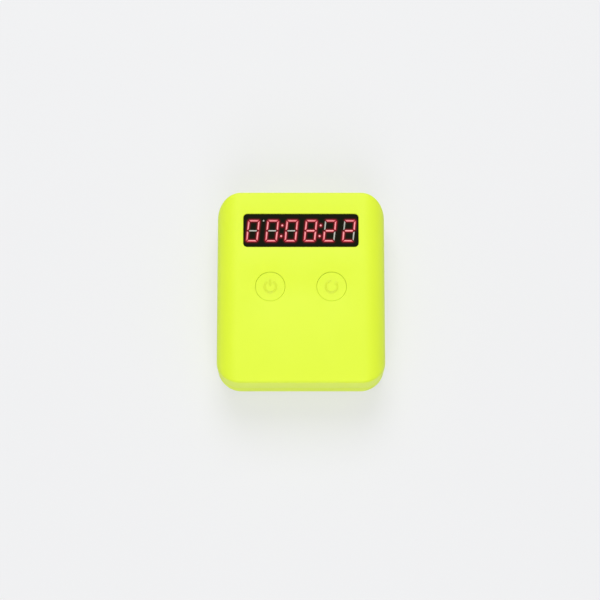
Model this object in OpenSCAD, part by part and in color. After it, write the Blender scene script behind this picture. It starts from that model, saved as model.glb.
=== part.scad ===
// Speed cube timer: a palm-sized timer with a six-digit light display, two press buttons, touch
// plates under the front corners and a sliding battery door. Millimetres, +Z up. The origin lies
// on the table under the middle of the body, +X is to the right, +Y is towards the display end.

/* [Body] */
// Width of the body
body_w = 70; // [70:0.5:90]
// Length of the body, front to back
body_l = 80.5; // [80.5:0.5:100]
// Height of the top face above the table
body_h = 25; // [25:0.5:32]
// Radius of the four corners, seen from above
corner_r = 10; // [9.5:0.1:11]
// Reach of the soft shoulder inwards from each long side
shoulder_w = 9; // [6:0.5:9]
// Drop of the soft shoulder down each long side
shoulder_h = 8.5; // [5:0.5:10]
// Radius of the top edge
end_edge_r = 1; // [0.6:0.1:2]
// Radius of the bottom edge all round
bottom_edge_r = 1; // [0.4:0.1:1.2]
// Thickness of the side walls
wall = 1.8; // [1.5:0.1:2]
// Thickness of the top
top_t = 1.8; // [1.4:0.1:2.2]
// Thickness of the floor
floor_t = 1.8; // [1.6:0.1:2.4]
// Height of the seam between the two shells above the table
seam_z = 9.5; // [8:0.5:12]
// Height of the locating lip above the seam
lip_h = 1.5; // [1:0.1:2]
// Thickness of the locating lip
lip_t = 0.8; // [0.6:0.1:1]
// Bevel round the rim of each button hole
hole_bevel = 0.3; // [0.2:0.05:0.5]

/* [Display] */
// Width of the display window
window_w = 48; // [44:0.5:49]
// Length of the display window, front to back
window_l = 14.2; // [13:0.1:15]
// Corner radius of the display window
window_r = 1.7; // [0.8:0.1:2]
// Distance from the back end to the middle of the window
window_setback = 16.35; // [16:0.05:17]
// Depth of the display face below the top face
face_recess = 0.4; // [0.2:0.1:0.8]
// Height of the display module above the main board
module_h = 7; // [6.5:0.1:7.5]
// Thickness of the display module's own board
module_board_t = 1; // [0.8:0.1:1.6]
// The six digits shown
reading = [0, 0, 0, 8, 2, 2];
// Distance from digit to digit
digit_pitch = 8; // [7:0.1:8.1]
// Height of a digit
digit_h = 9.4; // [7:0.1:9.8]
// Width of a digit
digit_w = 5; // [4.4:0.1:5.4]
// Thickness of a light bar
bar_t = 0.76; // [0.6:0.02:1]
// Gap between neighbouring light bars
bar_gap = 0.36; // [0.2:0.02:0.5]
// Gap between the side bars at a digit's middle
bar_waist = 0.64; // [0.3:0.02:0.8]
// Cut across the outer corners of a digit
digit_cut = 0.5; // [0.3:0.05:0.8]
// Lean of the digits, in degrees
lean = 6; // [0:0.5:10]
// Distance of the digits' middle below the middle of the window
digit_drop = 0.15; // [0:0.05:0.3]
// Diameter of the colon dots
dot_d = 0.84; // [0.6:0.02:1.2]
// Distance of each colon dot from the digits' middle
dot_rise = 2.28; // [1.8:0.05:2.6]
// Diameter of the small tick beside the first digit
tick_d = 0.7; // [0.6:0.1:1]
// Distance of the tick above the digits' middle
tick_rise = 4.3; // [4:0.1:4.6]
// Depth of the light bars in the display face
bar_depth = 0.8; // [0.5:0.1:1.2]
// Distance between the two rows of display pins
pin_row_gap = 10.16; // [7.62:2.54:10.16]
// Distance from pin to pin along a row
pin_pitch = 5.08; // [2.54:2.54:5.08]
// Diameter of a display pin
pin_d = 0.5; // [0.4:0.05:0.6]
// Length of pin left under the main board
pin_tail = 1; // [0.8:0.1:1.2]

/* [Buttons] */
// Distance between the middles of the two buttons
button_pitch = 25.4; // [24.5:0.1:27]
// Place of the buttons from the middle of the body, towards the display
button_y = 0; // [-0.5:0.1:0.5]
// Diameter of a button cap
cap_d = 12.2; // [10:0.1:12.4]
// Depth of a button cap below the top face
cap_recess = 0.3; // [0.1:0.05:0.5]
// Overhang of the flange that holds a cap under the top
flange_w = 1.3; // [0.8:0.1:1.6]
// Thickness of that flange
flange_t = 0.8; // [0.6:0.1:1]
// Depth of the hollow under a cap
cap_hollow = 1.2; // [0.6:0.1:1.3]
// Height of the raised symbols on the caps
symbol_h = 0.08; // [0.05:0.01:0.2]
// Radius of the ring in each symbol
symbol_r = 2.4; // [2:0.1:3]
// Stroke of the symbols
symbol_stroke = 0.55; // [0.4:0.05:0.7]
// Travel of a button
press_travel = 0.3; // [0.2:0.05:0.35]

/* [Switches] */
// Width of a push switch
switch_w = 6; // [5.5:0.1:6.2]
// Height of a switch with its cover
switch_body_h = 3.5; // [3.2:0.1:3.6]
// Thickness of the switch cover
switch_cover_t = 0.3; // [0.2:0.05:0.4]
// Height from the main board to the top of the plunger
switch_h = 4.3; // [4.2:0.1:4.4]
// Diameter of the plunger
plunger_d = 3.4; // [3:0.1:3.6]
// Height of the floor inside the switch
switch_floor_h = 1.5; // [1.2:0.1:1.6]
// Height of the snap dome when it is pressed flat
flat_dome_h = 0.22; // [0.18:0.01:0.3]

/* [Boards and parts] */
// Thickness of the main board
board_t = 1.2; // [1:0.1:1.6]
// Distance from the middle to the front edge of the main board
board_front = 24; // [24:0.5:26]
// Distance from the back end of the body to the back edge of the main board
board_setback = 6.75; // [6:0.25:7.5]
// Distance of the board screws from the sides of the main board
board_screw_inset = 3.2; // [2.8:0.1:3.6]
// Place of the front pair of board screws, from the middle
board_screw_front = 11; // [10:0.5:12]
// Gap between the back pair of board posts and the row of small parts behind them
board_post_gap = 1.5; // [1:0.1:2]
// Diameter of the posts that carry the main board
board_post_d = 5; // [4.4:0.1:5.2]
// Length of a touch plate
touch_l = 19; // [16:0.5:20]
// Width of a touch plate
touch_w = 19; // [16:0.5:20]
// Thickness of a touch plate
touch_t = 0.3; // [0.2:0.05:0.5]
// Distance of a touch plate from the front end
touch_setback = 5.25; // [4.5:0.25:6]
// Distance of a touch plate from the soft shoulder beside it
touch_inset = 2; // [1:0.1:3]
// Outer diameter of a touch spring
touch_spring_d = 5; // [4:0.1:5.6]
// Wire of the touch springs
touch_wire = 0.5; // [0.4:0.05:0.6]
// Turns of a touch spring
touch_turns = 5; // [4:1:6]

/* [Batteries] */
// Diameter of a cell
cell_d = 10.5; // [10:0.1:10.6]
// Length of a cell with its nub
cell_l = 44.5; // [44:0.1:44.6]
// Gap between the cells
cell_gap = 0.6; // [0.4:0.1:0.7]
// Clearance over and under the cells
cell_clear = 0.25; // [0.15:0.05:0.4]
// Diameter of a cell's nub
nub_d = 3.8; // [3.4:0.1:4.2]
// Length of a cell's nub
nub_l = 1; // [0.8:0.1:1.2]
// Distance of the battery bay from the back end of the body
bay_setback = 3.6; // [3.4:0.1:4]
// Thickness of the walls and the roof of the bay
bay_wall = 1.2; // [1:0.1:1.3]
// Thickness of the contact strip
contact_t = 0.3; // [0.2:0.05:0.4]
// Width of a contact plate
contact_w = 8.4; // [7.5:0.1:8.8]
// Rise of the dimple that meets a nub
dimple_h = 0.4; // [0.3:0.05:0.6]
// Width of the solder tabs
tab_w = 2.6; // [2:0.1:3.2]
// Length of a cell spring when a cell is in
spring_l = 4; // [3.5:0.1:4.2]
// Diameter of a cell spring where it stands on its plate
spring_d = 7; // [6:0.1:7.6]
// Diameter of a cell spring at the cell
spring_tip_d = 4.4; // [3.8:0.1:5]
// Wire of the cell springs
spring_wire = 0.6; // [0.5:0.05:0.7]
// Turns of a cell spring
spring_turns = 3; // [2.5:0.5:3.5]
// Diameter of the battery leads
lead_d = 1; // [0.8:0.05:1.1]

/* [Battery door] */
// Ledge of the bay's side walls beside the door
door_ledge = 1.2; // [1:0.1:1.6]
// Distance of the door's front edge ahead of the bay
door_lead = 1.5; // [1:0.1:2.5]
// Width of the door's rails
rail_w = 1.6; // [1.2:0.1:1.7]
// Thickness of the door's rails
rail_t = 0.8; // [0.6:0.05:0.9]
// Number of grip grooves
grip_count = 5; // [3:1:7]
// Length of a grip groove
grip_l = 14; // [8:1:20]
// Distance of the grip grooves from the door's front edge
grip_setback = 4; // [2:0.5:8]
// Width of a grip groove
grip_w = 0.9; // [0.6:0.1:1.2]
// Distance from groove to groove
grip_pitch = 1.8; // [1.6:0.1:2.2]
// Depth of a grip groove
grip_depth = 0.4; // [0.2:0.05:0.5]

/* [Feet and screws] */
// Diameter of a rubber foot
foot_d = 7; // [5.6:0.1:7]
// Thickness of a rubber foot
foot_t = 1.2; // [1:0.1:1.4]
// Height of the feet below the underside
foot_proud = 0.6; // [0.4:0.1:0.8]
// Distance of the case screws from the ends of the body
screw_setback = 13.25; // [12:0.25:15]
// Diameter of a screw boss
boss_d = 6; // [5.8:0.1:6.2]
// Diameter of a case screw
screw_d = 2.6; // [2.2:0.1:2.6]
// Length of a case screw under its head
screw_l = 8; // [6:0.5:10]
// Diameter of a case screw's head
head_d = 4.6; // [4:0.1:4.6]
// Height of a case screw's head
head_h = 1.7; // [1.4:0.1:1.9]
// Thickness of the boss under a case screw's head, from the underside
head_seat = 3.8; // [3.6:0.1:4.4]
// Diameter of a board screw
board_screw_d = 2; // [1.8:0.1:2.2]
// Length of a board screw under its head
board_screw_l = 5; // [4:0.5:6]
// Diameter of a board screw's head
board_head_d = 3.8; // [3.2:0.1:4]
// Height of a board screw's head
board_head_h = 1.2; // [1:0.1:1.3]

/* [Clearances] */
// Gap between the display module and its window
display_gap = 0.15; // [0.1:0.05:0.3]
// Gap between a button cap and its hole
cap_gap = 0.1; // [0.05:0.05:0.4]
// Gap over a cap's flange, and inside a switch
press_gap = 0.1; // [0.05:0.01:0.12]
// Gap beside the door and its rails
door_side_gap = 0.2; // [0.15:0.05:0.3]
// Gap over the door
door_gap = 0.15; // [0.1:0.05:0.2]
// Gap between the door's rails and the ledge below them
rail_gap = 0.1; // [0.05:0.01:0.15]
// Gap between the lip and the top shell
lip_gap = 0.15; // [0.1:0.05:0.2]
// Gap beside a foot, a screw head and a screw shank in its hole
seat_gap = 0.1; // [0.05:0.01:0.15]
// Gap between a screw and the bore it bites in
bite_gap = 0.02; // [0.02:0.01:0.05]
// Gap round pins and legs in the boards
pin_gap = 0.15; // [0.1:0.05:0.2]
// Gap between wound wire and what it stands on
wire_gap = 0.03; // [0.02:0.01:0.1]

/* [Hidden] */

$fn = 48;
overcut = 1;          // how far a cutting shape runs past the surface it cuts
skim = 0.01;          // the same, where a wider cut would show
join = 0.1;           // how far joined shapes reach into each other
dimple_rim = 0.3;
half_w = body_w / 2;
half_l = body_l / 2;
LEFT = -1;
RIGHT = 1;

// Heights, from the table up.
base_z = foot_proud;
floor_z = base_z + floor_t;
door_top = floor_z - door_gap;
cell_z = door_top + cell_clear + cell_d / 2;
bay_ceiling = cell_z + cell_d / 2 + cell_clear;
bay_roof = bay_ceiling + bay_wall;
ceiling = body_h - top_t;
face_z = body_h - face_recess;
board_top = face_z - module_h;
board_z = board_top - board_t;
touch_z = ceiling - touch_t;

// The battery bay: the cells lie side by side along the body, from left to right.
FRONT = -1;
BACK = 1;
bay_back = half_l - bay_setback;
bay_front = bay_back - 2 * contact_t - dimple_h - cell_l - spring_l;
cell_count = 3;
cell_pitch = cell_d + cell_gap;
bay_x = (cell_count * cell_pitch + cell_gap) / 2;
cell_x = [for (i = [0 : cell_count - 1]) (i - (cell_count - 1) / 2) * cell_pitch];
cell_end = [BACK, FRONT, BACK];       // the end that each cell's nub points to
door_w = 2 * (bay_x - door_ledge);
function bay_end(end) = end == FRONT ? bay_front : bay_back;
contact_low = floor_z + cell_clear;
contact_high = bay_ceiling - cell_clear;

// Places of the screws and feet.
board_side_gap = 0.6;
boss_x = half_w - wall - 2 * lip_gap - lip_t - boss_d / 2;
boss_y = half_l - screw_setback;
board_half_w = boss_x - boss_d / 2 - board_side_gap;
board_back = half_l - board_setback;
board_screw_x = board_half_w - board_screw_inset;

// Places on the top.
window_y = half_l - window_setback;
digit_y = window_y - digit_drop;
button_x = button_pitch / 2;
touch_y = -half_l + touch_setback + touch_l / 2;
touch_x = half_w - shoulder_w - touch_inset - touch_w / 2;
touch_spring_inset = 1;
touch_spring_y = -board_front + touch_spring_d / 2 + touch_spring_inset;

// The parts on the main board, in rows from the display to the front.
part_gap = 1.05;
chip_leg_out = 0.3;
chip_foot = 0.9;
leg_reach = chip_leg_out + chip_foot;
driver_size = [17.9, 7.5, 2.3];
driver_legs = 14;
controller_size = [12.8, 7.5, 2.3];
controller_legs = 10;
resistor_size = [1.25, 2, 0.55];
resistor_pitch = 2.6;
resistor_count = 8;
transistor_size = [2.9, 1.4, 1.05];
transistor_pitch = 3.4;
transistor_x = 12.6;
bypass_size = [1.25, 2, 0.9];
bypass_pitch = 4;
bypass_count = 4;
crystal_can = [4.6, 11, 3.4];
crystal_flange = [5, 11.4, 0.4];
capacitor_d = 5;
capacitor_h = 4.6;
capacitor_foot = [5.3, 5.3, 0.6];
row_y = window_y - window_l / 2 - resistor_size[1] / 2 - part_gap;
driver_y = row_y - resistor_size[1] / 2 - part_gap - leg_reach - driver_size[1] / 2;
controller_y = driver_y - driver_size[1] / 2 - 2 * leg_reach - part_gap - controller_size[1] / 2;
bypass_y = controller_y - controller_size[1] / 2 - leg_reach - part_gap - bypass_size[1] / 2;
crystal_x = -controller_size[0] / 2 - part_gap - crystal_flange[0] / 2;
crystal_y = button_y - switch_w / 2 - part_gap - crystal_flange[1] / 2;
capacitor_y = -board_front + capacitor_foot[1] / 2 + seat_gap;

board_screw_back = row_y - resistor_size[1] / 2 - board_post_gap - board_post_d / 2;
board_screw_places = [for (x = [-board_screw_x, board_screw_x])
    for (y = [-board_screw_front, board_screw_back]) [x, y]];

// ---- Rounded shapes -------------------------------------------------------------------------

// The body's skin is a stack of rings. Every ring runs round the same rounded rectangle, drawn
// in by its own inset, and each of its points lies as high as the skin is there.
corner_steps = 9;
edge_steps = 4;
shoulder_steps = 6;
ring_turns = [for (quarter = [0 : 3]) for (k = [0 : corner_steps])
    90 * quarter + 90 * k / corner_steps];
ring_signs = [for (s = [[1, 1], [-1, 1], [-1, -1], [1, -1]]) for (k = [0 : corner_steps]) s];

// The places on a ring: half sizes and corner radius of the rectangle, and the inset.
function ring_places(x, y, r, inset) = [
    for (i = [0 : len(ring_turns) - 1])
        let (turn = ring_turns[i], sign = ring_signs[i])
        [sign[0] * (x - r) + (r - inset) * cos(turn), sign[1] * (y - r) + (r - inset) * sin(turn)]
];
function level_ring(x, y, r, inset, z) = [for (p = ring_places(x, y, r, inset)) [p[0], p[1], z]];

// A point set in by at on a quarter ellipse, w wide and h high, lies this far below its crown.
function quarter_drop(at, w, h) = at >= w ? 0 : h * (1 - sqrt(max(0, 1 - pow((w - at) / w, 2))));

// A ring of the upper skin: the soft shoulders run straight along both long sides, so their drop
// depends on the distance from the side, and the top edge runs all round.
function crown_ring(x, y, r, inset, top, w, h, edge) = [
    for (p = ring_places(x, y, r, inset))
        [p[0], p[1], top - quarter_drop(x - abs(p[0]), w, h) - quarter_drop(inset, edge, edge)]
];

// A closed solid through rings of equal length, from the lowest to the highest.
module ring_stack(rings) {
    n = len(rings[0]);
    last = (len(rings) - 1) * n;
    walls = [for (k = [0 : len(rings) - 2]) for (i = [0 : n - 1])
        let (j = (i + 1) % n, a = k * n, b = a + n) each [[a + i, b + i, b + j], [a + i, b + j, a + j]]];
    polyhedron(points = [for (r = rings) each r],
        faces = concat([[for (i = [0 : n - 1]) i]], walls, [[for (i = [n - 1 : -1 : 0]) last + i]]));
}

// The upper skin, from low up to top, set in by side_t: shoulders w wide and h high, and an edge.
module upper_skin(side_t, low, top, w, h, edge) {
    x = half_w - side_t;
    y = half_l - side_t;
    r = corner_r - side_t;
    edge_insets = [for (k = [0 : edge_steps]) edge * (1 - cos(90 * k / edge_steps))];
    shoulder_insets = [for (k = [1 : shoulder_steps]) edge + (w - edge) * pow(k / shoulder_steps, 1.5)];
    ring_stack(concat([level_ring(x, y, r, 0, low)],
        [for (inset = concat(edge_insets, shoulder_insets)) crown_ring(x, y, r, inset, top, w, h, edge)]));
}

module outer_skin() {
    upper_skin(0, seam_z, body_h, shoulder_w, shoulder_h, end_edge_r);
}

module inner_skin() {
    inner_edge = 0.4;
    upper_skin(wall, seam_z - overcut, ceiling, shoulder_w - wall, shoulder_h - top_t, inner_edge);
}

module lower_skin() {
    ring_stack(concat([
        for (k = [0 : edge_steps])
            let (a = 90 * k / edge_steps)
            level_ring(half_w, half_l, corner_r, bottom_edge_r * (1 - sin(a)),
                base_z + bottom_edge_r * (1 - cos(a)))
    ], [level_ring(half_w, half_l, corner_r, 0, seam_z)]));
}

// An upright block with round corners, from low to high.
module rounded_block(w, l, r, low, high) {
    translate([0, 0, low])
        linear_extrude(high - low) {
            square([w - 2 * r, l], center = true);
            square([w, l - 2 * r], center = true);
            for (x = [-1, 1], y = [-1, 1])
                translate([x * (w / 2 - r), y * (l / 2 - r)]) circle(r);
        }
}

// The body's outline set in by inset, from low to high.
module body_block(inset, low, high) {
    rounded_block(body_w - 2 * inset, body_l - 2 * inset, corner_r - inset, low, high);
}

// A box from corner to corner.
module span(a, b) {
    translate(a) cube(b - a);
}

module tube(outer_d, inner_d, low, high) {
    translate([0, 0, low])
        difference() {
            cylinder(d = outer_d, h = high - low);
            translate([0, 0, -overcut]) cylinder(d = inner_d, h = high - low + 2 * overcut);
        }
}

module at_case_screws() {
    for (x = [-boss_x, boss_x], y = [-boss_y, boss_y])
        translate([x, y, 0]) children();
}

module at_board_screws() {
    for (place = board_screw_places)
        translate([place[0], place[1], 0]) children();
}

module at_button(side) {
    translate([side * button_x, button_y, 0]) children();
}

// A pan-head screw, head down, with its seat at z = 0 and a cross recess.
module pan_screw(d, l, head_d, head_h) {
    recess_l = head_d * 0.6;
    recess_w = head_d * 0.14;
    color("silver")
        difference() {
            union() {
                cylinder(d = d, h = l);
                translate([0, 0, -head_h / 2]) cylinder(d = head_d, h = head_h / 2);
                translate([0, 0, -head_h]) cylinder(d1 = head_d * 0.8, d2 = head_d, h = head_h / 2);
            }
            for (turn = [0, 90])
                rotate(turn)
                    translate([-recess_l / 2, -recess_w / 2, -head_h - overcut])
                        cube([recess_l, recess_w, overcut + head_h / 2]);
        }
}

// ---- Case -----------------------------------------------------------------------------------

shell_color = [0.90, 0.98, 0.32];
bosses_meet = seam_z;
pilot_spare = 0.6;                   // how far a bore runs on past its screw's tip
pilot_depth = screw_l - (bosses_meet - base_z - head_seat) + pilot_spare;
board_pilot_depth = board_screw_l - board_t + pilot_spare;
window_frame_t = 1;
window_frame_h = 2;

// What stands inside the top shell: screw bosses, board posts and the frame round the display.
module top_inside() {
    at_case_screws() translate([0, 0, bosses_meet]) cylinder(d = boss_d, h = body_h - bosses_meet);
    at_board_screws() translate([0, 0, board_top]) cylinder(d = board_post_d, h = body_h - board_top);
    translate([0, window_y, 0])
        difference() {
            frame_w = window_w + 2 * window_frame_t;
            frame_l = window_l + 2 * window_frame_t;
            rounded_block(frame_w, frame_l, window_r + window_frame_t, ceiling - window_frame_h, body_h);
            rounded_block(window_w, window_l, window_r, ceiling - window_frame_h - overcut,
                body_h + overcut);
        }
}

module top_shell() {
    color(shell_color)
        difference() {
            outer_skin();
            difference() {
                inner_skin();
                top_inside();
            }
            translate([0, window_y, 0])
                rounded_block(window_w, window_l, window_r, ceiling - overcut, body_h + overcut);
            for (side = [LEFT, RIGHT])
                at_button(side) {
                    hole_d = cap_d + 2 * cap_gap;
                    translate([0, 0, ceiling - overcut]) cylinder(d = hole_d, h = top_t + 2 * overcut);
                    translate([0, 0, body_h - hole_bevel])
                        cylinder(d1 = hole_d, d2 = hole_d + 2 * (hole_bevel + skim),
                            h = hole_bevel + skim);
                }
            at_case_screws()
                translate([0, 0, bosses_meet - overcut])
                    cylinder(d = screw_d + 2 * bite_gap, h = pilot_depth + overcut);
            at_board_screws()
                translate([0, 0, board_top - overcut])
                    cylinder(d = board_screw_d + 2 * bite_gap, h = board_pilot_depth + overcut);
        }
}

// The door's place in the floor: the opening that shows and the grooves over it.
door_front = bay_front - door_lead;
rail_top = door_top;
rail_low = rail_top - rail_t;

module door_room() {
    half = door_w / 2 + door_side_gap;
    past_back = half_l + overcut;
    span([-half, door_front - door_side_gap, base_z - overcut], [half, past_back, floor_z]);
    span([-half - rail_w, door_front - rail_w - door_side_gap, rail_low - rail_gap],
        [half + rail_w, past_back, floor_z]);
}

// A slot in the bay's roof for a contact's solder tab.
module tab_slot(end, x) {
    slot_half = tab_w / 2 + door_side_gap;
    translate([x, bay_end(end), 0])
        span([-slot_half, -contact_t - door_side_gap, bay_ceiling - overcut],
            [slot_half, contact_t + door_side_gap, bay_roof + overcut]);
}

module bottom_shell() {
    lip_root = 2;
    lip_inset = wall + lip_gap;
    color(shell_color)
        difference() {
            union() {
                difference() {
                    lower_skin();
                    body_block(wall, floor_z, seam_z + overcut);
                }
                difference() {
                    union() {
                        body_block(wall - skim, seam_z - lip_root, seam_z);
                        body_block(lip_inset, seam_z - lip_root, seam_z + lip_h);
                    }
                    body_block(lip_inset + lip_t, seam_z - lip_root - overcut, seam_z + lip_h + overcut);
                }
                span([-bay_x - bay_wall, bay_front - bay_wall, base_z + floor_t / 2],
                    [bay_x + bay_wall, bay_back + bay_wall, bay_roof]);
                at_case_screws() translate([0, 0, floor_z - floor_t / 2])
                    cylinder(d = boss_d, h = bosses_meet - floor_z + floor_t / 2);
            }
            span([-bay_x, bay_front, floor_z - skim], [bay_x, bay_back, bay_ceiling]);
            door_room();
            tab_slot(FRONT, cell_x[0]);
            tab_slot(BACK, cell_x[2]);
            at_case_screws() {
                translate([0, 0, base_z - overcut])
                    cylinder(d = foot_d + 2 * seat_gap, h = overcut + foot_t - foot_proud);
                translate([0, 0, base_z]) cylinder(d = head_d + 4 * seat_gap, h = head_seat);
                translate([0, 0, base_z])
                    cylinder(d = screw_d + 2 * seat_gap, h = bosses_meet - base_z + overcut);
            }
        }
}

module battery_door() {
    grip_front = door_front + grip_setback;
    color(shell_color)
        difference() {
            intersection() {
                union() {
                    span([-door_w / 2, door_front, base_z - overcut], [door_w / 2, half_l, rail_top]);
                    span([-door_w / 2 - rail_w, door_front - rail_w, rail_low],
                        [door_w / 2 + rail_w, half_l, rail_top]);
                }
                lower_skin();
            }
            for (k = [0 : grip_count - 1])
                translate([-grip_l / 2, grip_front + k * grip_pitch, base_z - overcut])
                    cube([grip_l, grip_w, overcut + grip_depth]);
        }
}

module rubber_feet() {
    edge = foot_proud / 2;
    color([0.12, 0.12, 0.12])
        at_case_screws() {
            translate([0, 0, edge]) cylinder(d = foot_d, h = foot_t - edge);
            cylinder(d1 = foot_d - 2 * edge, d2 = foot_d, h = edge);
        }
}

module case_screws() {
    at_case_screws() translate([0, 0, base_z + head_seat]) pan_screw(screw_d, screw_l, head_d, head_h);
}

// ---- Display --------------------------------------------------------------------------------

// Outlines of a digit's bars, about its middle. A digit has cut outer corners and its bars meet
// along 45 degree lines, a gap apart.
bar_half_w = digit_w / 2;
bar_half_h = digit_h / 2;
bar_shift = bar_gap / 2 / sqrt(2);
cut_x = bar_half_w - digit_cut / 2;
cut_y = bar_half_h - digit_cut / 2;

function flip(points, x, y) = [for (p = points) [x * p[0], y * p[1]]];
function leaned(points) = [for (p = points) [p[0] + p[1] * tan(lean), p[1]]];

// Right half of the top bar, then its mirror image, so that the outline closes.
top_half = [
    [bar_half_w - digit_cut, bar_half_h],
    [cut_x - bar_shift, cut_y + bar_shift],
    [cut_x - bar_shift - (cut_y + bar_shift - bar_half_h + bar_t), bar_half_h - bar_t]
];
top_bar = concat(top_half, [for (i = [2 : -1 : 0]) [-top_half[i][0], top_half[i][1]]]);

// The upper right bar, from its cut top corner to its pointed foot at the digit's middle.
side_bar = [
    [bar_half_w, bar_half_h - digit_cut],
    [cut_x + bar_shift, cut_y - bar_shift],
    [bar_half_w - bar_t, cut_y - bar_shift - (cut_x + bar_shift - bar_half_w + bar_t)],
    [bar_half_w - bar_t, bar_waist / 2 + bar_t / 2],
    [bar_half_w - bar_t / 2, bar_waist / 2],
    [bar_half_w, bar_waist / 2]
];

// The middle bar, pointed at both ends.
middle_tip = bar_half_w - bar_t / 2 - bar_gap / sqrt(2);
middle_half = [
    [middle_tip - bar_t / 2, bar_t / 2],
    [middle_tip, 0],
    [middle_tip - bar_t / 2, -bar_t / 2]
];
middle_bar = concat(middle_half, [for (i = [2 : -1 : 0]) [-middle_half[i][0], middle_half[i][1]]]);

// The seven bars in their usual order: top, upper right, lower right, bottom, lower left,
// upper left, middle.
BARS = [top_bar, side_bar, flip(side_bar, 1, -1), flip(top_bar, 1, -1), flip(side_bar, -1, -1),
    flip(side_bar, -1, 1), middle_bar];

// Which bars each digit lights, 0 to 9.
LIT = [
    [1, 1, 1, 1, 1, 1, 0], [0, 1, 1, 0, 0, 0, 0], [1, 1, 0, 1, 1, 0, 1], [1, 1, 1, 1, 0, 0, 1],
    [0, 1, 1, 0, 0, 1, 1], [1, 0, 1, 1, 0, 1, 1], [1, 0, 1, 1, 1, 1, 1], [1, 1, 1, 0, 0, 0, 0],
    [1, 1, 1, 1, 1, 1, 1], [1, 1, 1, 1, 0, 1, 1]
];
digit_x = [for (i = [0 : 5]) (i - 2.5) * digit_pitch];
colon_x = [-digit_pitch, digit_pitch];
tick_x = -2 * digit_pitch;

// The bars that are lit, or those that are not, as flat shapes.
module bars(lit) {
    translate([0, digit_y])
        for (i = [0 : 5], k = [0 : 6])
            if (LIT[reading[i]][k] == lit)
                translate([digit_x[i], 0]) polygon(leaned(BARS[k]));
}

module colon_dots() {
    translate([0, digit_y])
        for (x = colon_x, y = [-dot_rise, dot_rise])
            translate([x + y * tan(lean), y]) circle(d = dot_d);
}

module tick() {
    translate([tick_x + tick_rise * tan(lean), digit_y + tick_rise]) circle(d = tick_d);
}

module display_housing() {
    color([0.08, 0.09, 0.07])
        difference() {
            translate([0, window_y, 0])
                rounded_block(window_w - 2 * display_gap, window_l - 2 * display_gap,
                    window_r - display_gap, board_top + module_board_t, face_z);
            translate([0, 0, face_z - bar_depth])
                linear_extrude(bar_depth + overcut) {
                    bars(0);
                    bars(1);
                    colon_dots();
                    tick();
                }
        }
}

module display_lit_bars() {
    color([1, 0.35, 0.45])
        translate([0, 0, face_z - bar_depth])
            linear_extrude(bar_depth) {
                bars(1);
                colon_dots();
            }
}

module display_unlit_bars() {
    color([0.62, 0.64, 0.60])
        translate([0, 0, face_z - bar_depth])
            linear_extrude(bar_depth) {
                bars(0);
                tick();
            }
}

module display_board() {
    color([0.75, 0.72, 0.55])
        translate([0, window_y, 0])
            rounded_block(window_w - 2 * display_gap, window_l - 2 * display_gap,
                window_r - display_gap, board_top, board_top + module_board_t);
}

pins_per_row = 7;
module at_display_pins() {
    for (k = [0 : pins_per_row - 1], row = [-1, 1])
        translate([(k - (pins_per_row - 1) / 2) * pin_pitch, window_y + row * pin_row_gap / 2, 0])
            children();
}

module display_pins() {
    color("silver")
        at_display_pins() translate([0, 0, board_z - pin_tail])
            cylinder(d = pin_d, h = pin_tail + board_t);
}

// ---- Main board and its parts ---------------------------------------------------------------

leg_t = 0.3;
leg_w = 0.7;
leg_y = 2.25;
leg_rise = 1;
leg_tail = pin_tail;

module at_switch_legs() {
    for (x = [-1, 1], y = [-leg_y, leg_y])
        translate([x * (switch_w / 2 + leg_t / 2), y, 0]) children();
}

module main_board() {
    color([0.10, 0.36, 0.18])
        difference() {
            span([-board_half_w, -board_front, board_z], [board_half_w, board_back, board_top]);
            translate([0, 0, board_z - overcut]) {
                hole_h = board_t + 2 * overcut;
                at_board_screws() cylinder(d = board_screw_d + 2 * seat_gap, h = hole_h);
                at_display_pins() cylinder(d = pin_d + 2 * pin_gap, h = hole_h);
                for (side = [LEFT, RIGHT])
                    at_button(side) at_switch_legs()
                        cylinder(d = norm([leg_t, leg_w]) + 2 * pin_gap, h = hole_h);
            }
        }
}

module board_screws() {
    at_board_screws() translate([0, 0, board_z])
        pan_screw(board_screw_d, board_screw_l, board_head_d, board_head_h);
}

// A chip in a flat package: its body, and the legs along its two long sides.
chip_standoff = 0.1;
leg_pitch = 1.27;
chip_leg_w = 0.42;
chip_leg_t = 0.2;

module chip_body(size) {
    color([0.10, 0.10, 0.11])
        translate([-size[0] / 2, -size[1] / 2, board_top + chip_standoff]) cube(size);
}

module chip_legs(count, size) {
    knee = size[2] / 2;
    color("silver")
        for (k = [0 : count - 1], row = [-1, 1])
            translate([(k - (count - 1) / 2) * leg_pitch - chip_leg_w / 2, 0, board_top])
                mirror([0, row < 0 ? 1 : 0, 0])
                    translate([0, size[1] / 2, 0]) {
                        translate([0, chip_leg_out, 0]) cube([chip_leg_w, chip_leg_t, knee]);
                        translate([0, chip_leg_out, 0]) cube([chip_leg_w, chip_foot, chip_leg_t]);
                        translate([0, 0, knee - chip_leg_t])
                            cube([chip_leg_w, chip_leg_out + chip_leg_t, chip_leg_t]);
                    }
}

// A small block with its middle at x and y, standing on the main board.
module board_block(x, y, size) {
    translate([x - size[0] / 2, y - size[1] / 2, board_top]) cube(size);
}

module microcontroller() {
    translate([0, controller_y, 0]) chip_body(controller_size);
}

module microcontroller_legs() {
    translate([0, controller_y, 0]) chip_legs(controller_legs, controller_size);
}

module display_driver() {
    translate([0, driver_y, 0]) chip_body(driver_size);
}

module display_driver_legs() {
    translate([0, driver_y, 0]) chip_legs(driver_legs, driver_size);
}

module crystal() {
    color("silver")
        translate([crystal_x, crystal_y, 0])
            for (size = [crystal_flange, crystal_can])
                rounded_block(size[0], size[1], size[0] / 2 - seat_gap, board_top, board_top + size[2]);
}

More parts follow.
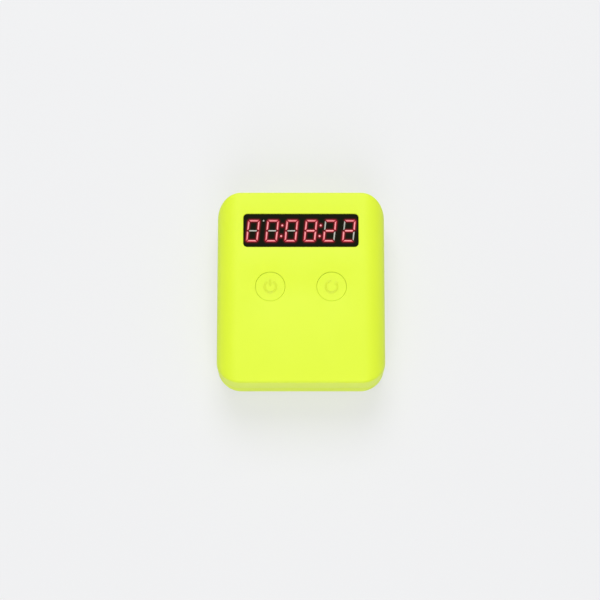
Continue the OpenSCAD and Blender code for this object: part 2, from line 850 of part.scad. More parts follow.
module capacitor() {
    color([0.1, 0.1, 0.1]) board_block(0, capacitor_y, capacitor_foot);
    color("silver") translate([0, capacitor_y, board_top]) cylinder(d = capacitor_d, h = capacitor_h);
}

module resistors() {
    color([0.1, 0.1, 0.1])
        for (k = [0 : resistor_count - 1])
            board_block((k - (resistor_count - 1) / 2) * resistor_pitch, row_y, resistor_size);
}

module bypass_capacitors() {
    color([0.70, 0.58, 0.42])
        for (k = [0 : bypass_count - 1])
            board_block((k - (bypass_count - 1) / 2) * bypass_pitch, bypass_y, bypass_size);
}

module digit_transistors() {
    color([0.1, 0.1, 0.1])
        for (side = [LEFT, RIGHT], k = [0 : 2])
            board_block(side * (transistor_x + k * transistor_pitch), row_y, transistor_size);
}

// ---- Push switches and button caps ------------------------------------------------------------

dome_rim = 0.4;
hollow_d = plunger_d + 2 * dome_rim;
dome_h = flat_dome_h + press_travel;
plunger_flange_d = hollow_d - 2 * press_gap;
cover_z = board_top + switch_body_h - switch_cover_t;
plunger_top = board_top + switch_h;
plunger_flange_low = board_top + switch_floor_h + dome_h + press_gap;

module switch_base(side) {
    color([0.12, 0.12, 0.12])
        at_button(side)
            difference() {
                span([-switch_w / 2, -switch_w / 2, board_top], [switch_w / 2, switch_w / 2, cover_z]);
                translate([0, 0, board_top + switch_floor_h]) cylinder(d = hollow_d, h = switch_h);
            }
}

module switch_cover(side) {
    color("silver")
        at_button(side)
            difference() {
                span([-switch_w / 2, -switch_w / 2, cover_z],
                    [switch_w / 2, switch_w / 2, cover_z + switch_cover_t]);
                translate([0, 0, cover_z - overcut])
                    cylinder(d = plunger_d + 2 * press_gap, h = switch_cover_t + 2 * overcut);
            }
}

// A thin sprung disc, turned about the plunger's axis.
module switch_dome(side) {
    sheet = 0.08;
    foot_r = plunger_flange_d / 2 - press_gap;
    crown_r = foot_r * 0.45;
    color("silver")
        at_button(side)
            translate([0, 0, board_top + switch_floor_h])
                rotate_extrude()
                    polygon([[0, dome_h], [crown_r, dome_h - sheet], [foot_r, sheet], [foot_r, 0],
                        [foot_r - 2 * sheet, 0], [crown_r - sheet, dome_h - 3 * sheet],
                        [0, dome_h - 2 * sheet]]);
}

module switch_plunger(side) {
    color([0.15, 0.15, 0.15])
        at_button(side) {
            translate([0, 0, plunger_flange_low])
                cylinder(d = plunger_flange_d, h = cover_z - press_gap / 2 - plunger_flange_low);
            translate([0, 0, plunger_flange_low])
                cylinder(d = plunger_d, h = plunger_top - plunger_flange_low);
        }
}

module switch_legs(side) {
    color("silver")
        at_button(side) at_switch_legs()
            span([-leg_t / 2, -leg_w / 2, board_z - leg_tail], [leg_t / 2, leg_w / 2, board_top + leg_rise]);
}

cap_top = body_h - cap_recess;
flange_top = ceiling - press_gap;
flange_low = flange_top - flange_t;
cap_post_d = plunger_d;
cap_rim = 1;

// A button cap without its symbol: a disc, a flange under the top and a post on the plunger.
module cap_body() {
    difference() {
        union() {
            translate([0, 0, flange_low]) cylinder(d = cap_d, h = cap_top - flange_low);
            translate([0, 0, flange_low]) cylinder(d = cap_d + 2 * (flange_w + cap_gap), h = flange_t);
        }
        tube(cap_d - 2 * cap_rim, cap_post_d, flange_low - overcut, flange_low + cap_hollow);
    }
    post_low = plunger_top + press_gap / 2;
    translate([0, 0, post_low]) cylinder(d = cap_post_d, h = flange_low + cap_hollow + join - post_low);
}

// An open ring, with a gap of the given angle centred on the given direction.
module open_ring(gap, direction) {
    rotate(direction + gap / 2)
        rotate_extrude(angle = 360 - gap)
            translate([symbol_r - symbol_stroke / 2, 0]) square([symbol_stroke, symbol_h + join]);
}

// A ring open at the top with a bar standing in the gap: on and off.
ring_gap = 65;
module left_button_cap() {
    color(shell_color)
        at_button(LEFT) {
            cap_body();
            translate([0, 0, cap_top - join]) {
                open_ring(ring_gap, 90);
                translate([-symbol_stroke / 2, symbol_r * 0.2, 0])
                    cube([symbol_stroke, symbol_r, symbol_h + join]);
            }
        }
}

// A ring that ends in an arrowhead: start again.
module right_button_cap() {
    head = symbol_stroke * 1.6;
    head_turn = 30;
    color(shell_color)
        at_button(RIGHT) {
            cap_body();
            translate([0, 0, cap_top - join]) {
                open_ring(ring_gap, head_turn + ring_gap / 2);
                rotate(head_turn) translate([symbol_r, 0])
                    linear_extrude(symbol_h + join)
                        polygon([[-head, -0.05], [head, -0.05], [0, head * 1.5]]);
            }
        }
}

// ---- Wound wire ---------------------------------------------------------------------------------

// A coil spring along +Z as one tube with flat ends: rings of wire square to the coil, eight to a
// turn. Its first and last half turns lie close, so that it stands flat.
wire_sides = 6;
rings_per_turn = 8;
function eased(s) = s * s * (3 - 2 * s);
function mix(a, b, share) = a + (b - a) * share;
function coil_point(s, turns, low_r, high_r, h) =
    let (a = 360 * turns * s, r = mix(low_r, high_r, s))
    [r * cos(a), r * sin(a), h * mix(s, eased(s), 0.35)];
function unit(v) = v / norm(v);
function wire_ring(center, along, up, r) =
    let (side = unit(cross(along, up)), over = cross(side, along))
    [for (k = [0 : wire_sides - 1])
        center + r * (cos(60 * k) * side + sin(60 * k) * over)];
function coil_rings(turns, low_r, high_r, h, r) =
    let (count = turns * rings_per_turn)
    [for (i = [0 : count])
        let (s = i / count, step = 0.5 / count,
             ahead = coil_point(min(s + step, 1), turns, low_r, high_r, h),
             behind = coil_point(max(s - step, 0), turns, low_r, high_r, h))
        wire_ring(coil_point(s, turns, low_r, high_r, h), unit(ahead - behind), [0, 0, 1], r)];

// A coil whose wire fills the height from 0 to h.
module coil(h, low_d, high_d, wire, turns) {
    rise = h - wire;
    color("silver")
        translate([0, 0, wire / 2])
            ring_stack(coil_rings(turns, (low_d - wire) / 2, (high_d - wire) / 2, rise, wire / 2));
}

module touch_plate(side) {
    color([0.80, 0.50, 0.30])
        translate([side * touch_x, touch_y, 0])
            span([-touch_w / 2, -touch_l / 2, touch_z], [touch_w / 2, touch_l / 2, ceiling]);
}

module touch_spring(side) {
    translate([side * touch_x, touch_spring_y, board_top + wire_gap])
        coil(touch_z - board_top - 2 * wire_gap, touch_spring_d, touch_spring_d, touch_wire, touch_turns);
}

// ---- Batteries ----------------------------------------------------------------------------------

// Turns what is built along +Z at one of the bay's end walls towards the cells.
module at_bay_end(end, x) {
    translate([x, bay_end(end), cell_z]) rotate([90 * end, 0, 0]) children();
}

module contact_plate(end, first, last) {
    translate([0, bay_end(end) - end * contact_t / 2, 0])
        span([cell_x[first] - contact_w / 2, -contact_t / 2, contact_low],
            [cell_x[last] + contact_w / 2, contact_t / 2, contact_high]);
}

module contact_dimple(end, index) {
    at_bay_end(end, cell_x[index])
        translate([0, 0, contact_t / 2])
            cylinder(d = nub_d + 2 * dimple_rim, h = contact_t / 2 + dimple_h - wire_gap);
}

module contact_tab(end, index) {
    translate([cell_x[index], bay_end(end) - end * contact_t / 2, 0])
        span([-tab_w / 2, -contact_t / 2, contact_high - join],
            [tab_w / 2, contact_t / 2, bay_roof + lead_d]);
}

module negative_contact() {
    color("silver") {
        contact_plate(FRONT, 0, 0);
        contact_tab(FRONT, 0);
    }
}

module positive_contact() {
    color("silver") {
        contact_plate(BACK, 2, 2);
        contact_dimple(BACK, 2);
        contact_tab(BACK, 2);
    }
}

module back_link_contact() {
    color("silver") {
        contact_plate(BACK, 0, 1);
        contact_dimple(BACK, 0);
    }
}

module front_link_contact() {
    color("silver") {
        contact_plate(FRONT, 1, 2);
        contact_dimple(FRONT, 1);
    }
}

module cell_springs() {
    for (i = [0 : cell_count - 1])
        at_bay_end(-cell_end[i], cell_x[i])
            translate([0, 0, contact_t + wire_gap])
                coil(spring_l - 2 * wire_gap, spring_d, spring_tip_d, spring_wire, spring_turns);
}

// A cell lying along Y, its nub against the contact at its own end.
module cell(index) {
    shoulder = 0.4;
    base_d = cell_d - 2 * shoulder;
    at_bay_end(cell_end[index], cell_x[index])
        translate([0, 0, contact_t + dimple_h]) {
            color("gold") cylinder(d = nub_d, h = nub_l + shoulder);
            color([0.15, 0.30, 0.65]) {
                translate([0, 0, nub_l]) cylinder(d1 = base_d, d2 = cell_d, h = shoulder);
                translate([0, 0, nub_l + shoulder]) cylinder(d = cell_d, h = cell_l - nub_l - 2 * shoulder);
                translate([0, 0, cell_l - shoulder]) cylinder(d1 = cell_d, d2 = base_d, h = shoulder);
            }
        }
}

// The route of a battery lead from its tab to the main board, from a point on the tab's inner
// face at the height of the lead's middle: +X leads away from the wall.
lead_rest = 0.15;
lead_z = bay_roof + lead_d / 2 + lead_rest;
lead_rise = board_z - lead_z;
lead_route = [
    [0.05, 0, 0], [1, 0, 0], [2.1, -0.5, 0], [3, -1.5, 0], [3.5, -2.7, 0], [3.7, -3.7, 0.1],
    [3.8, -4.3, 0.4], [3.8, -4.5, lead_rise * 0.7], [3.8, -4.5, lead_rise - wire_gap]
];

module lead(end, x, tint) {
    last = len(lead_route) - 1;
    reference = unit([-1, -1, 0]);
    rings = [for (i = [0 : last])
        let (along = i == 0 ? [1, 0, 0] : i == last ? [0, 0, 1]
                : unit(lead_route[i + 1] - lead_route[i - 1]))
        wire_ring(lead_route[i], along, reference, lead_d / 2)];
    color(tint)
        translate([x, bay_end(end) - end * contact_t, lead_z])
            rotate(-90 * end) ring_stack(rings);
}

// ---- Drawing ------------------------------------------------------------------------------------

top_shell();
bottom_shell();
battery_door();
rubber_feet();
case_screws();
display_housing();
display_lit_bars();
display_unlit_bars();
display_board();
display_pins();
main_board();
board_screws();
left_button_cap();
right_button_cap();
switch_base(LEFT);  // left_switch_base
switch_base(RIGHT);  // right_switch_base
switch_cover(LEFT);  // left_switch_cover
switch_cover(RIGHT);  // right_switch_cover
switch_dome(LEFT);  // left_switch_dome
switch_dome(RIGHT);  // right_switch_dome
switch_plunger(LEFT);  // left_switch_plunger
switch_plunger(RIGHT);  // right_switch_plunger
switch_legs(LEFT);  // left_switch_legs
switch_legs(RIGHT);  // right_switch_legs
microcontroller();
microcontroller_legs();
display_driver();
display_driver_legs();
crystal();
capacitor();
resistors();
bypass_capacitors();
digit_transistors();
touch_plate(LEFT);  // left_touch_plate
touch_plate(RIGHT);  // right_touch_plate
touch_spring(LEFT);  // left_touch_spring
touch_spring(RIGHT);  // right_touch_spring
negative_contact();
positive_contact();
front_link_contact();
back_link_contact();
cell_springs();
cell(0);  // left_cell
cell(1);  // middle_cell
cell(2);  // right_cell
lead(FRONT, cell_x[0], [0.10, 0.10, 0.10]);  // negative_lead
lead(BACK, cell_x[2], [0.80, 0.10, 0.10]);  // positive_lead
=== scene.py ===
"""The finished look of a speed cube timer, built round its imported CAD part.

Sizes are in millimetres in the part's own frame: the origin lies on the table under the middle of
the case, +X is to the right as the display is read, +Y runs towards the display and +Z is up.
Points are turned to metres once, when a mesh is made.
"""

import logging
import math
from dataclasses import dataclass, field
from enum import Enum
from typing import Sequence

import bmesh
import bpy
import numpy as np
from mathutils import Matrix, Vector
from mathutils.geometry import delaunay_2d_cdt


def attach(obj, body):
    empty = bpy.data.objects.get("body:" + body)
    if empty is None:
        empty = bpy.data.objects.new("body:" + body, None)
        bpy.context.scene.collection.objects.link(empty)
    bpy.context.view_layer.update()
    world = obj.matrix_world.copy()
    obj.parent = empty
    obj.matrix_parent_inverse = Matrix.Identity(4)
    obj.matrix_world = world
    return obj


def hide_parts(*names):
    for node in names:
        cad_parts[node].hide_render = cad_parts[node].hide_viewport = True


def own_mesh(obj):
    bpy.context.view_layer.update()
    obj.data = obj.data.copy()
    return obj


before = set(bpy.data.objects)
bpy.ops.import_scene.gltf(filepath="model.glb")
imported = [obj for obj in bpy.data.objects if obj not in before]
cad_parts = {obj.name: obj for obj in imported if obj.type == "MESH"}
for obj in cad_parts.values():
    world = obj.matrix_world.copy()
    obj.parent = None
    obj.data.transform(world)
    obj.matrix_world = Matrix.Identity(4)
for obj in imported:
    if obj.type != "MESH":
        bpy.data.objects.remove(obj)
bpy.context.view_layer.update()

log = logging.getLogger("timer")

MM = 0.001
# Points closer than this are one point.
WELD_MM = 0.0005
# An edge that turns by more than this is shaded as an edge.
SHARP_DEG = 34.0
# How far a cut runs past the outside of what it cuts.
PAST_MM = 1.0
# Where the middle ring of a softened edge lies, as a share of the edge's width.
SOFT_SHARE = 0.3

Array = np.ndarray
Mesh = bpy.types.Mesh
Object = bpy.types.Object
Socket = bpy.types.NodeSocket
Tree = bpy.types.NodeTree


# ---- Materials ----


def linear(colour: str) -> tuple[float, float, float, float]:
    """Turn an sRGB hex colour into the linear values that a shader takes.

    Args:
        colour: six hex digits.

    Returns:
        Red, green, blue and an alpha of one.
    """
    parts = np.array([int(colour[k : k + 2], 16) for k in (0, 2, 4)]) / 255
    bent = np.where(parts <= 0.04045, parts / 12.92, ((parts + 0.055) / 1.055) ** 2.4)
    return (*bent.tolist(), 1.0)


def add(tree: Tree, kind: str, inputs: dict | None = None,
        **settings: object) -> bpy.types.Node:
    """Add a node with its settings and links.

    Args:
        tree: the tree that takes the node.
        kind: the node's type.
        inputs: a value or an output socket for each input, by name or number.
        **settings: the node's own settings.

    Returns:
        The new node.
    """
    node = tree.nodes.new(kind)
    for name, value in settings.items():
        setattr(node, name, value)
    for name, value in (inputs or {}).items():
        if isinstance(value, Socket):
            tree.links.new(value, node.inputs[name])
        else:
            node.inputs[name].default_value = value
    return node


def scale_of(size_mm: float) -> float:
    """Give the texture scale at which a feature is so many millimetres wide."""
    return 1 / (size_mm * MM)


@dataclass(frozen=True)
class Finish:
    """A real surface: what it is made of and how it was made.

    The colour wanders slowly between two close tones, the gloss wanders with it, and a fine
    grain stands on the surface.
    """

    name: str
    colour: str
    tone: str
    roughness: float = 0.5
    ior: float = 1.5
    metallic: float = 0.0
    specular: float = 0.5
    wander_mm: float = 9.0
    grain_mm: float = 0.3
    grain_depth_mm: float = 0.01
    unevenness: float = 0.06
    stretch: tuple[float, float, float] | None = None

    def mapped(self, tree: Tree, place: Socket) -> Socket:
        """Stretch the place that the grain reads, as brushing or drawing does."""
        if self.stretch is None:
            return place
        return add(tree, "ShaderNodeMapping", {"Vector": place, "Scale": self.stretch}).outputs[0]

    def noise(self, tree: Tree, place: Socket, size_mm: float, detail: float) -> Socket:
        """Add a noise whose features are size_mm wide, and return its value from 0 to 1."""
        inputs = {"Vector": place, "Scale": scale_of(size_mm), "Detail": detail}
        return add(tree, "ShaderNodeTexNoise", inputs).outputs["Fac"]

    def blend(self, tree: Tree, share: Socket, first: str, second: str) -> Socket:
        """Mix two hex colours by a share and return the colour."""
        inputs = {0: share, 6: linear(first), 7: linear(second)}
        return add(tree, "ShaderNodeMix", inputs, data_type="RGBA").outputs[2]

    def colours(self, tree: Tree, place: Socket) -> Socket:
        """Return the colour of the surface at a place."""
        share = self.noise(tree, place, self.wander_mm, detail=3.0)
        return self.blend(tree, share, self.colour, self.tone)

    def dullness(self, tree: Tree, place: Socket) -> Socket:
        """Let the roughness wander about its mean.

        Args:
            tree: the material's nodes.
            place: where on the object it is asked for.

        Returns:
            The roughness of the surface there.
        """
        inputs = {"Value": self.noise(tree, place, self.wander_mm / 2, detail=4.0),
                  "To Min": self.roughness - self.unevenness,
                  "To Max": self.roughness + self.unevenness}
        return add(tree, "ShaderNodeMapRange", inputs).outputs[0]

    def relief(self, tree: Tree, place: Socket) -> Socket:
        """Return the direction of the surface with its grain."""
        height = self.noise(tree, self.mapped(tree, place), self.grain_mm, detail=2.0)
        inputs = {"Height": height, "Strength": 1.0, "Distance": self.grain_depth_mm * MM}
        return add(tree, "ShaderNodeBump", inputs).outputs["Normal"]

    def extras(self, tree: Tree, place: Socket) -> dict:
        """Return further inputs of the shader."""
        return {}

    def material(self) -> bpy.types.Material:
        """Build the material, unless it is there.

        Returns:
            The material.
        """
        found = bpy.data.materials.get(self.name)
        if found:
            return found
        made = bpy.data.materials.new(self.name)
        made.use_nodes = True
        tree = made.node_tree
        tree.nodes.clear()
        place = add(tree, "ShaderNodeTexCoord").outputs["Object"]
        inputs = {
            "Base Color": self.colours(tree, place),
            "Roughness": self.dullness(tree, place),
            "Normal": self.relief(tree, place),
            "Metallic": self.metallic,
        }
        if not self.metallic:
            inputs |= {"IOR": self.ior, "Specular IOR Level": self.specular}
        shader = add(tree, "ShaderNodeBsdfPrincipled", {**inputs, **self.extras(tree, place)})
        add(tree, "ShaderNodeOutputMaterial", {"Surface": shader.outputs["BSDF"]})
        return made


@dataclass(frozen=True)
class DyedPlastic(Finish):
    """Moulded ABS with a fluorescent dye: light that goes in comes out close by."""

    depth_mm: float = 0.6
    share: float = 0.25

    def extras(self, tree: Tree, place: Socket) -> dict:
        """Let some light travel under the surface.

        Args:
            tree: the material's nodes; not used.
            place: where on the object it is asked for; not used.

        Returns:
            The shader's further inputs.
        """
        return {
            "Subsurface Weight": self.share,
            "Subsurface Radius": (1.0, 1.0, 0.3),
            "Subsurface Scale": self.depth_mm * MM,
        }


@dataclass(frozen=True)
class StudioPaper(Finish):
    """Matt paper that keeps a part of its own brightness where the camera or a mirror sees it."""

    held: float = 0.62
    own: str = "F1F1F2"

    def material(self) -> bpy.types.Material:
        """Mix the paper with an even light of its own, for what is seen of it alone.

        Returns:
            The material.
        """
        made = super().material()
        tree = made.node_tree
        shader = next(n for n in tree.nodes if n.type == "BSDF_PRINCIPLED")
        out = next(n for n in tree.nodes if n.type == "OUTPUT_MATERIAL")
        rays = add(tree, "ShaderNodeLightPath").outputs
        seen = rays["Is Camera Ray"]
        for name in ("Is Glossy Ray", "Is Transmission Ray"):
            either = {0: seen, 1: rays[name]}
            seen = add(tree, "ShaderNodeMath", either, operation="MAXIMUM").outputs[0]
        part = {0: seen, 1: self.held}
        share = add(tree, "ShaderNodeMath", part, operation="MULTIPLY").outputs[0]
        light = add(tree, "ShaderNodeEmission", {"Color": linear(self.own)})
        both = {0: share, 1: shader.outputs[0], 2: light.outputs[0]}
        mixed = add(tree, "ShaderNodeMixShader", both)
        tree.links.new(mixed.outputs[0], out.inputs["Surface"])
        return made


@dataclass(frozen=True)
class LitFrom(Finish):
    """A surface that glows by a share kept in an attribute of its mesh: the lit bars' own light,
    and the painted glow on the display face.
    """

    attribute: str = "glow"
    glow_low: str = "000000"
    glow_high: str = "FFFFFF"

    def extras(self, tree: Tree, place: Socket) -> dict:
        """Turn the attribute into the colour of the glow."""
        share = add(tree, "ShaderNodeAttribute", attribute_name=self.attribute).outputs["Fac"]
        colour = self.blend(tree, share, self.glow_low, self.glow_high)
        return {"Emission Color": colour, "Emission Strength": 1.0}


@dataclass(frozen=True)
class MaskedBoard(Finish):
    """Glass-epoxy laminate under solder mask, with the copper showing through as paler lines."""

    track_mm: float = 0.3
    row_mm: float = 1.27
    run_mm: float = 6.4

    def colours(self, tree: Tree, place: Socket) -> Socket:
        """Draw parallel tracks a row apart, joined by short ones at the end of each run.

        Args:
            tree: the material's nodes.
            place: where on the object it is asked for.

        Returns:
            The colour of the board there.
        """
        mask = linear(self.colour)
        inputs = {"Vector": place, "Color1": mask, "Color2": mask, "Mortar": linear(self.tone),
                  "Scale": scale_of(1.0), "Mortar Size": self.track_mm / 2, "Mortar Smooth": 0.2,
                  "Brick Width": self.run_mm, "Row Height": self.row_mm}
        return add(tree, "ShaderNodeTexBrick", inputs, offset=0.37, offset_frequency=3,
                   squash=0.6, squash_frequency=4).outputs["Color"]


@dataclass(frozen=True)
class PrintedJacket(Finish):
    """A cell's plain jacket: bare steel at both ends, and a band of another colour by the nub.

    The three shares of the length say where the band starts and ends, and where the base starts.
    """

    nub_y: float = 0.0
    base_y: float = 1.0
    band_from: float = 0.032
    band_to: float = 0.27
    base_from: float = 0.99
    band: str = "C9952F"
    steel: str = "C4C6C8"

    def along(self, tree: Tree, place: Socket) -> Socket:
        """Return the share of the way from the nub's tip to the base."""
        height = add(tree, "ShaderNodeSeparateXYZ", {0: place}).outputs["Y"]
        inputs = {"Value": height, "From Min": self.nub_y * MM, "From Max": self.base_y * MM}
        return add(tree, "ShaderNodeMapRange", inputs).outputs[0]

    def steps(self, tree: Tree, share: Socket, stops: Sequence[tuple[float, str]]) -> Socket:
        """Step from colour to colour.

        Args:
            tree: the material's nodes.
            share: the share of the way along.
            stops: where each colour starts, and the colour.

        Returns:
            The colour at that share.
        """
        ramp = add(tree, "ShaderNodeValToRGB", {"Fac": share})
        ramp.color_ramp.interpolation = "CONSTANT"
        while len(ramp.color_ramp.elements) < len(stops):
            ramp.color_ramp.elements.new(1.0)
        for element, (at, colour) in zip(ramp.color_ramp.elements, stops):
            element.position = at
            element.color = linear(colour)
        return ramp.outputs["Color"]

    def colours(self, tree: Tree, place: Socket) -> Socket:
        """Return steel, the band, the jacket and steel again."""
        stops = [(0.0, self.steel), (self.band_from, self.band), (self.band_to, self.colour),
                 (self.base_from, self.steel)]
        return self.steps(tree, self.along(tree, place), stops)

    def extras(self, tree: Tree, place: Socket) -> dict:
        """Make the ends metal."""
        stops = [(0.0, "FFFFFF"), (self.band_from, "000000"), (self.base_from, "FFFFFF")]
        return {"Metallic": self.steps(tree, self.along(tree, place), stops)}


# Moulded ABS, spark-eroded mould: a soft even sheen, no visible grain beyond arm's length. The
# spark texture is 0.15 mm across.
CASE_ABS = DyedPlastic("moulded_yellow_green_abs", "E4FA36", "E0F732", 0.48, 1.53, specular=0.4,
                       wander_mm=22.0, grain_mm=0.15, grain_depth_mm=0.004, unevenness=0.03)
# The caps come from another mould, polished a little further.
CAP_ABS = DyedPlastic("moulded_cap_abs", "E3F936", "DFF632", 0.44, 1.53, specular=0.4,
                      wander_mm=6.0, grain_mm=0.15, grain_depth_mm=0.003, unevenness=0.03)
# Black ink printed on a light display's reflector: deep and matt. Beside a lit bar it carries a
# painted glow, dark red emission standing in for the bars' light spilling onto the face.
DISPLAY_FACE = LitFrom("printed_black_reflector_painted_glow", "121108", "171808", 0.6, 1.5, specular=0.05,
                       wander_mm=3.0, grain_mm=0.12, grain_depth_mm=0.004, attribute="glow",
                       glow_low="000000", glow_high="78001C")
# Cast diffusing epoxy, lit from behind: pink at the core, deep red at the rim.
LIT_EPOXY = LitFrom("cast_epoxy_lit_red", "501018", "5A141C", 0.35, 1.55, wander_mm=1.0,
                    grain_mm=0.1, grain_depth_mm=0.002, attribute="core",
                    glow_low="C80832", glow_high="FFB0B2")
# The same epoxy, unlit: a translucent pale grey.
UNLIT_EPOXY = Finish("cast_epoxy_unlit", "B6B6AC", "AAAAA0", 0.35, 1.55, wander_mm=1.0,
                     grain_mm=0.1, grain_depth_mm=0.002)
# Moulded rubber: dull, with a faint bloom.
FOOT_RUBBER = Finish("moulded_black_rubber", "1C1C1C", "262624", 0.8, 1.52, wander_mm=2.0,
                     grain_mm=0.2, grain_depth_mm=0.02)
# Zinc-plated steel: blue-white, drawn grain.
ZINC_STEEL = Finish("zinc_plated_steel", "B9BDC2", "A9ADB4", 0.32, metallic=1.0, wander_mm=1.5,
                    grain_mm=0.15, grain_depth_mm=0.004)
# Nickel-plated spring steel, drawn as wire or rolled as strip: fine lines along one way.
NICKEL_STEEL = Finish("nickel_plated_spring_steel", "C9C6BE", "B8B5AD", 0.24, metallic=1.0,
                      wander_mm=3.0, grain_mm=0.1, grain_depth_mm=0.003, stretch=(6.0, 1.0, 1.0))
# Tin-plated copper alloy: dull silver.
TINNED_LEGS = Finish("tin_plated_legs", "C2C3C0", "ADAEAA", 0.4, metallic=1.0, wander_mm=0.8,
                     grain_mm=0.1, grain_depth_mm=0.003)
# Rolled copper sheet with a light tarnish.
COPPER_SHEET = Finish("rolled_copper_sheet", "C77F52", "AB6539", 0.36, metallic=1.0, wander_mm=4.0,
                      grain_mm=0.12, grain_depth_mm=0.003, stretch=(1.0, 8.0, 1.0))
# Green solder mask over glass-epoxy laminate: glossy, with tracks at the 1.27 mm pitch of the legs.
MAIN_LAMINATE = MaskedBoard("green_solder_mask", "1E5A33", "2F7A45", 0.3, 1.55, wander_mm=2.0,
                            grain_mm=0.4, grain_depth_mm=0.006)
# Bare paper-phenolic laminate of the display module.
MODULE_LAMINATE = Finish("bare_phenolic_laminate", "B99A63", "A88A55", 0.5, 1.55, wander_mm=1.2,
                         grain_mm=0.3, grain_depth_mm=0.01, stretch=(1.0, 3.0, 1.0))
# Transfer-moulded epoxy of chips: near black, finely pitted.
CHIP_EPOXY = Finish("moulded_chip_epoxy", "202124", "2A2B2D", 0.62, 1.55, wander_mm=1.0,
                    grain_mm=0.12, grain_depth_mm=0.01)
# Moulded nylon of the switches: black, satin.
SWITCH_NYLON = Finish("moulded_black_nylon", "1B1B1D", "242426", 0.5, 1.53, wander_mm=1.5,
                      grain_mm=0.15, grain_depth_mm=0.006)
# Drawn aluminium can of the capacitor.
DRAWN_ALUMINIUM = Finish("drawn_aluminium_can", "CFD1D2", "BFC1C3", 0.28, metallic=1.0,
                         wander_mm=2.0, grain_mm=0.1, grain_depth_mm=0.003, stretch=(1.0, 1.0, 6.0))
# Sintered ceramic of the small capacitors.
SINTERED_CERAMIC = Finish("sintered_capacitor_ceramic", "B59468", "A58459", 0.55, 1.6,
                          wander_mm=0.5, grain_mm=0.08, grain_depth_mm=0.006)
# Extruded PVC insulation of the leads.
BLACK_PVC = Finish("extruded_black_pvc", "1D1D1E", "252527", 0.42, 1.53, wander_mm=2.0,
                   grain_mm=0.2, grain_depth_mm=0.004)
RED_PVC = Finish("extruded_red_pvc", "B3201E", "A51C1A", 0.42, 1.53, wander_mm=2.0,
                 grain_mm=0.2, grain_depth_mm=0.004)
# Matt white paper of the floor: no sheen, a grain too fine to see.
PAPER = StudioPaper("matt_white_paper", "EDEEF0", "EBECEE", 0.9, 1.45, wander_mm=60.0,
                    grain_mm=1.0, grain_depth_mm=0.005, unevenness=0.02)

# What the CAD nodes that are shown as they are wear.
CARRIED = {
    ZINC_STEEL: ("case_screws", "board_screws"),
    MODULE_LAMINATE: ("display_board",),
    TINNED_LEGS: ("display_pins", "left_switch_legs", "right_switch_legs",
                  "microcontroller_legs", "display_driver_legs"),
    MAIN_LAMINATE: ("main_board",),
    SWITCH_NYLON: ("left_switch_base", "right_switch_base",
                   "left_switch_plunger", "right_switch_plunger"),
    NICKEL_STEEL: ("left_switch_cover", "right_switch_cover", "crystal", "negative_contact",
                   "positive_contact", "front_link_contact", "back_link_contact"),
    CHIP_EPOXY: ("microcontroller", "display_driver", "resistors", "digit_transistors"),
    DRAWN_ALUMINIUM: ("capacitor",),
    SINTERED_CERAMIC: ("bypass_capacitors",),
    COPPER_SHEET: ("left_touch_plate", "right_touch_plate"),
}


# ---- Shapes ----


class Side(Enum):
    """The left or the right one of a pair, as the sign of its x."""

    LEFT = -1
    RIGHT = 1

    @property
    def word(self) -> str:
        """The side as it stands in a node's name."""
        return self.name.lower()


def unit(vectors: Array) -> Array:
    """Bring vectors to length one."""
    return vectors / np.linalg.norm(vectors, axis=-1, keepdims=True)


def direction(angle: Array) -> Array:
    """Return the x and y of each angle in radians."""
    return np.stack([np.cos(angle), np.sin(angle)], -1)


def quarter_turn(steps: int) -> Array:
    """Return the angles of a quarter turn in radians."""
    return np.radians(np.linspace(0, 90, steps + 1))


def whole_turn(steps: int) -> Array:
    """Return the angles of a whole turn in radians, up to one step before its end."""
    return np.linspace(0, 2 * math.pi, steps, endpoint=False)


def at_height(places: Array, z: float | Array) -> Array:
    """Put flat points at a height, or each at its own."""
    return np.column_stack([places, np.broadcast_to(z, len(places))])


@dataclass(frozen=True)
class Outline:
    """A rounded rectangle, walked counter-clockwise from its right-hand side.

    Each of its four corners is an arc about a centre set in by the radius, and straight sides join
    the arcs. Every inset gives as many points, so that rings can be joined.
    """

    half_x: float
    half_y: float
    radius: float
    x: float = 0.0
    y: float = 0.0
    corner_steps: int = 18
    side_steps: int = 8

    def places(self, inset: float = 0.0, lag: float = 0.0) -> Array:
        """Work out the points of the outline drawn in by inset.

        Args:
            inset: how far the sides are drawn in.
            lag: how much less the front and back are drawn in.

        Returns:
            Rows of x and y.
        """
        turn = np.radians(np.linspace(0, 90, self.corner_steps + 1) + 90 * np.arange(4)[:, None])
        signs = np.array([[1, 1], [-1, 1], [-1, -1], [1, -1]], float)
        centres = signs * (self.half_x - self.radius, self.half_y - self.radius + lag)
        arcs = centres[:, None] + (self.radius - inset) * direction(turn)
        share = (np.arange(1, self.side_steps) / self.side_steps)[None, :, None]
        ends, starts = arcs[:, -1:], np.roll(arcs, -1, axis=0)[:, :1]
        sides = ends + share * (starts - ends)
        return np.concatenate([arcs, sides], axis=1).reshape(-1, 2) + (self.x, self.y)

    def ring(self, inset: float, z: float | Array, lag: float = 0.0) -> Array:
        """Return the outline drawn in by inset, at height z."""
        return at_height(self.places(inset, lag), z)


def circle(radius: float, x: float = 0.0, y: float = 0.0, steps: int = 16) -> Outline:
    """Return a circle as an outline with no sides."""
    return Outline(radius, radius, radius, x, y, steps, 1)


def drop(at: Array | float, width: float, height: float) -> Array:
    """Return how far a point set in by at lies below the crown of a quarter ellipse.

    Args:
        at: distance from the side.
        width: width of the quarter ellipse.
        height: height of the quarter ellipse.

    Returns:
        Height times one less the root of one less the square of the share still to go.
    """
    share = np.clip(1 - np.asarray(at, float) / width, 0, 1)
    return height * (1 - np.sqrt(1 - share**2))


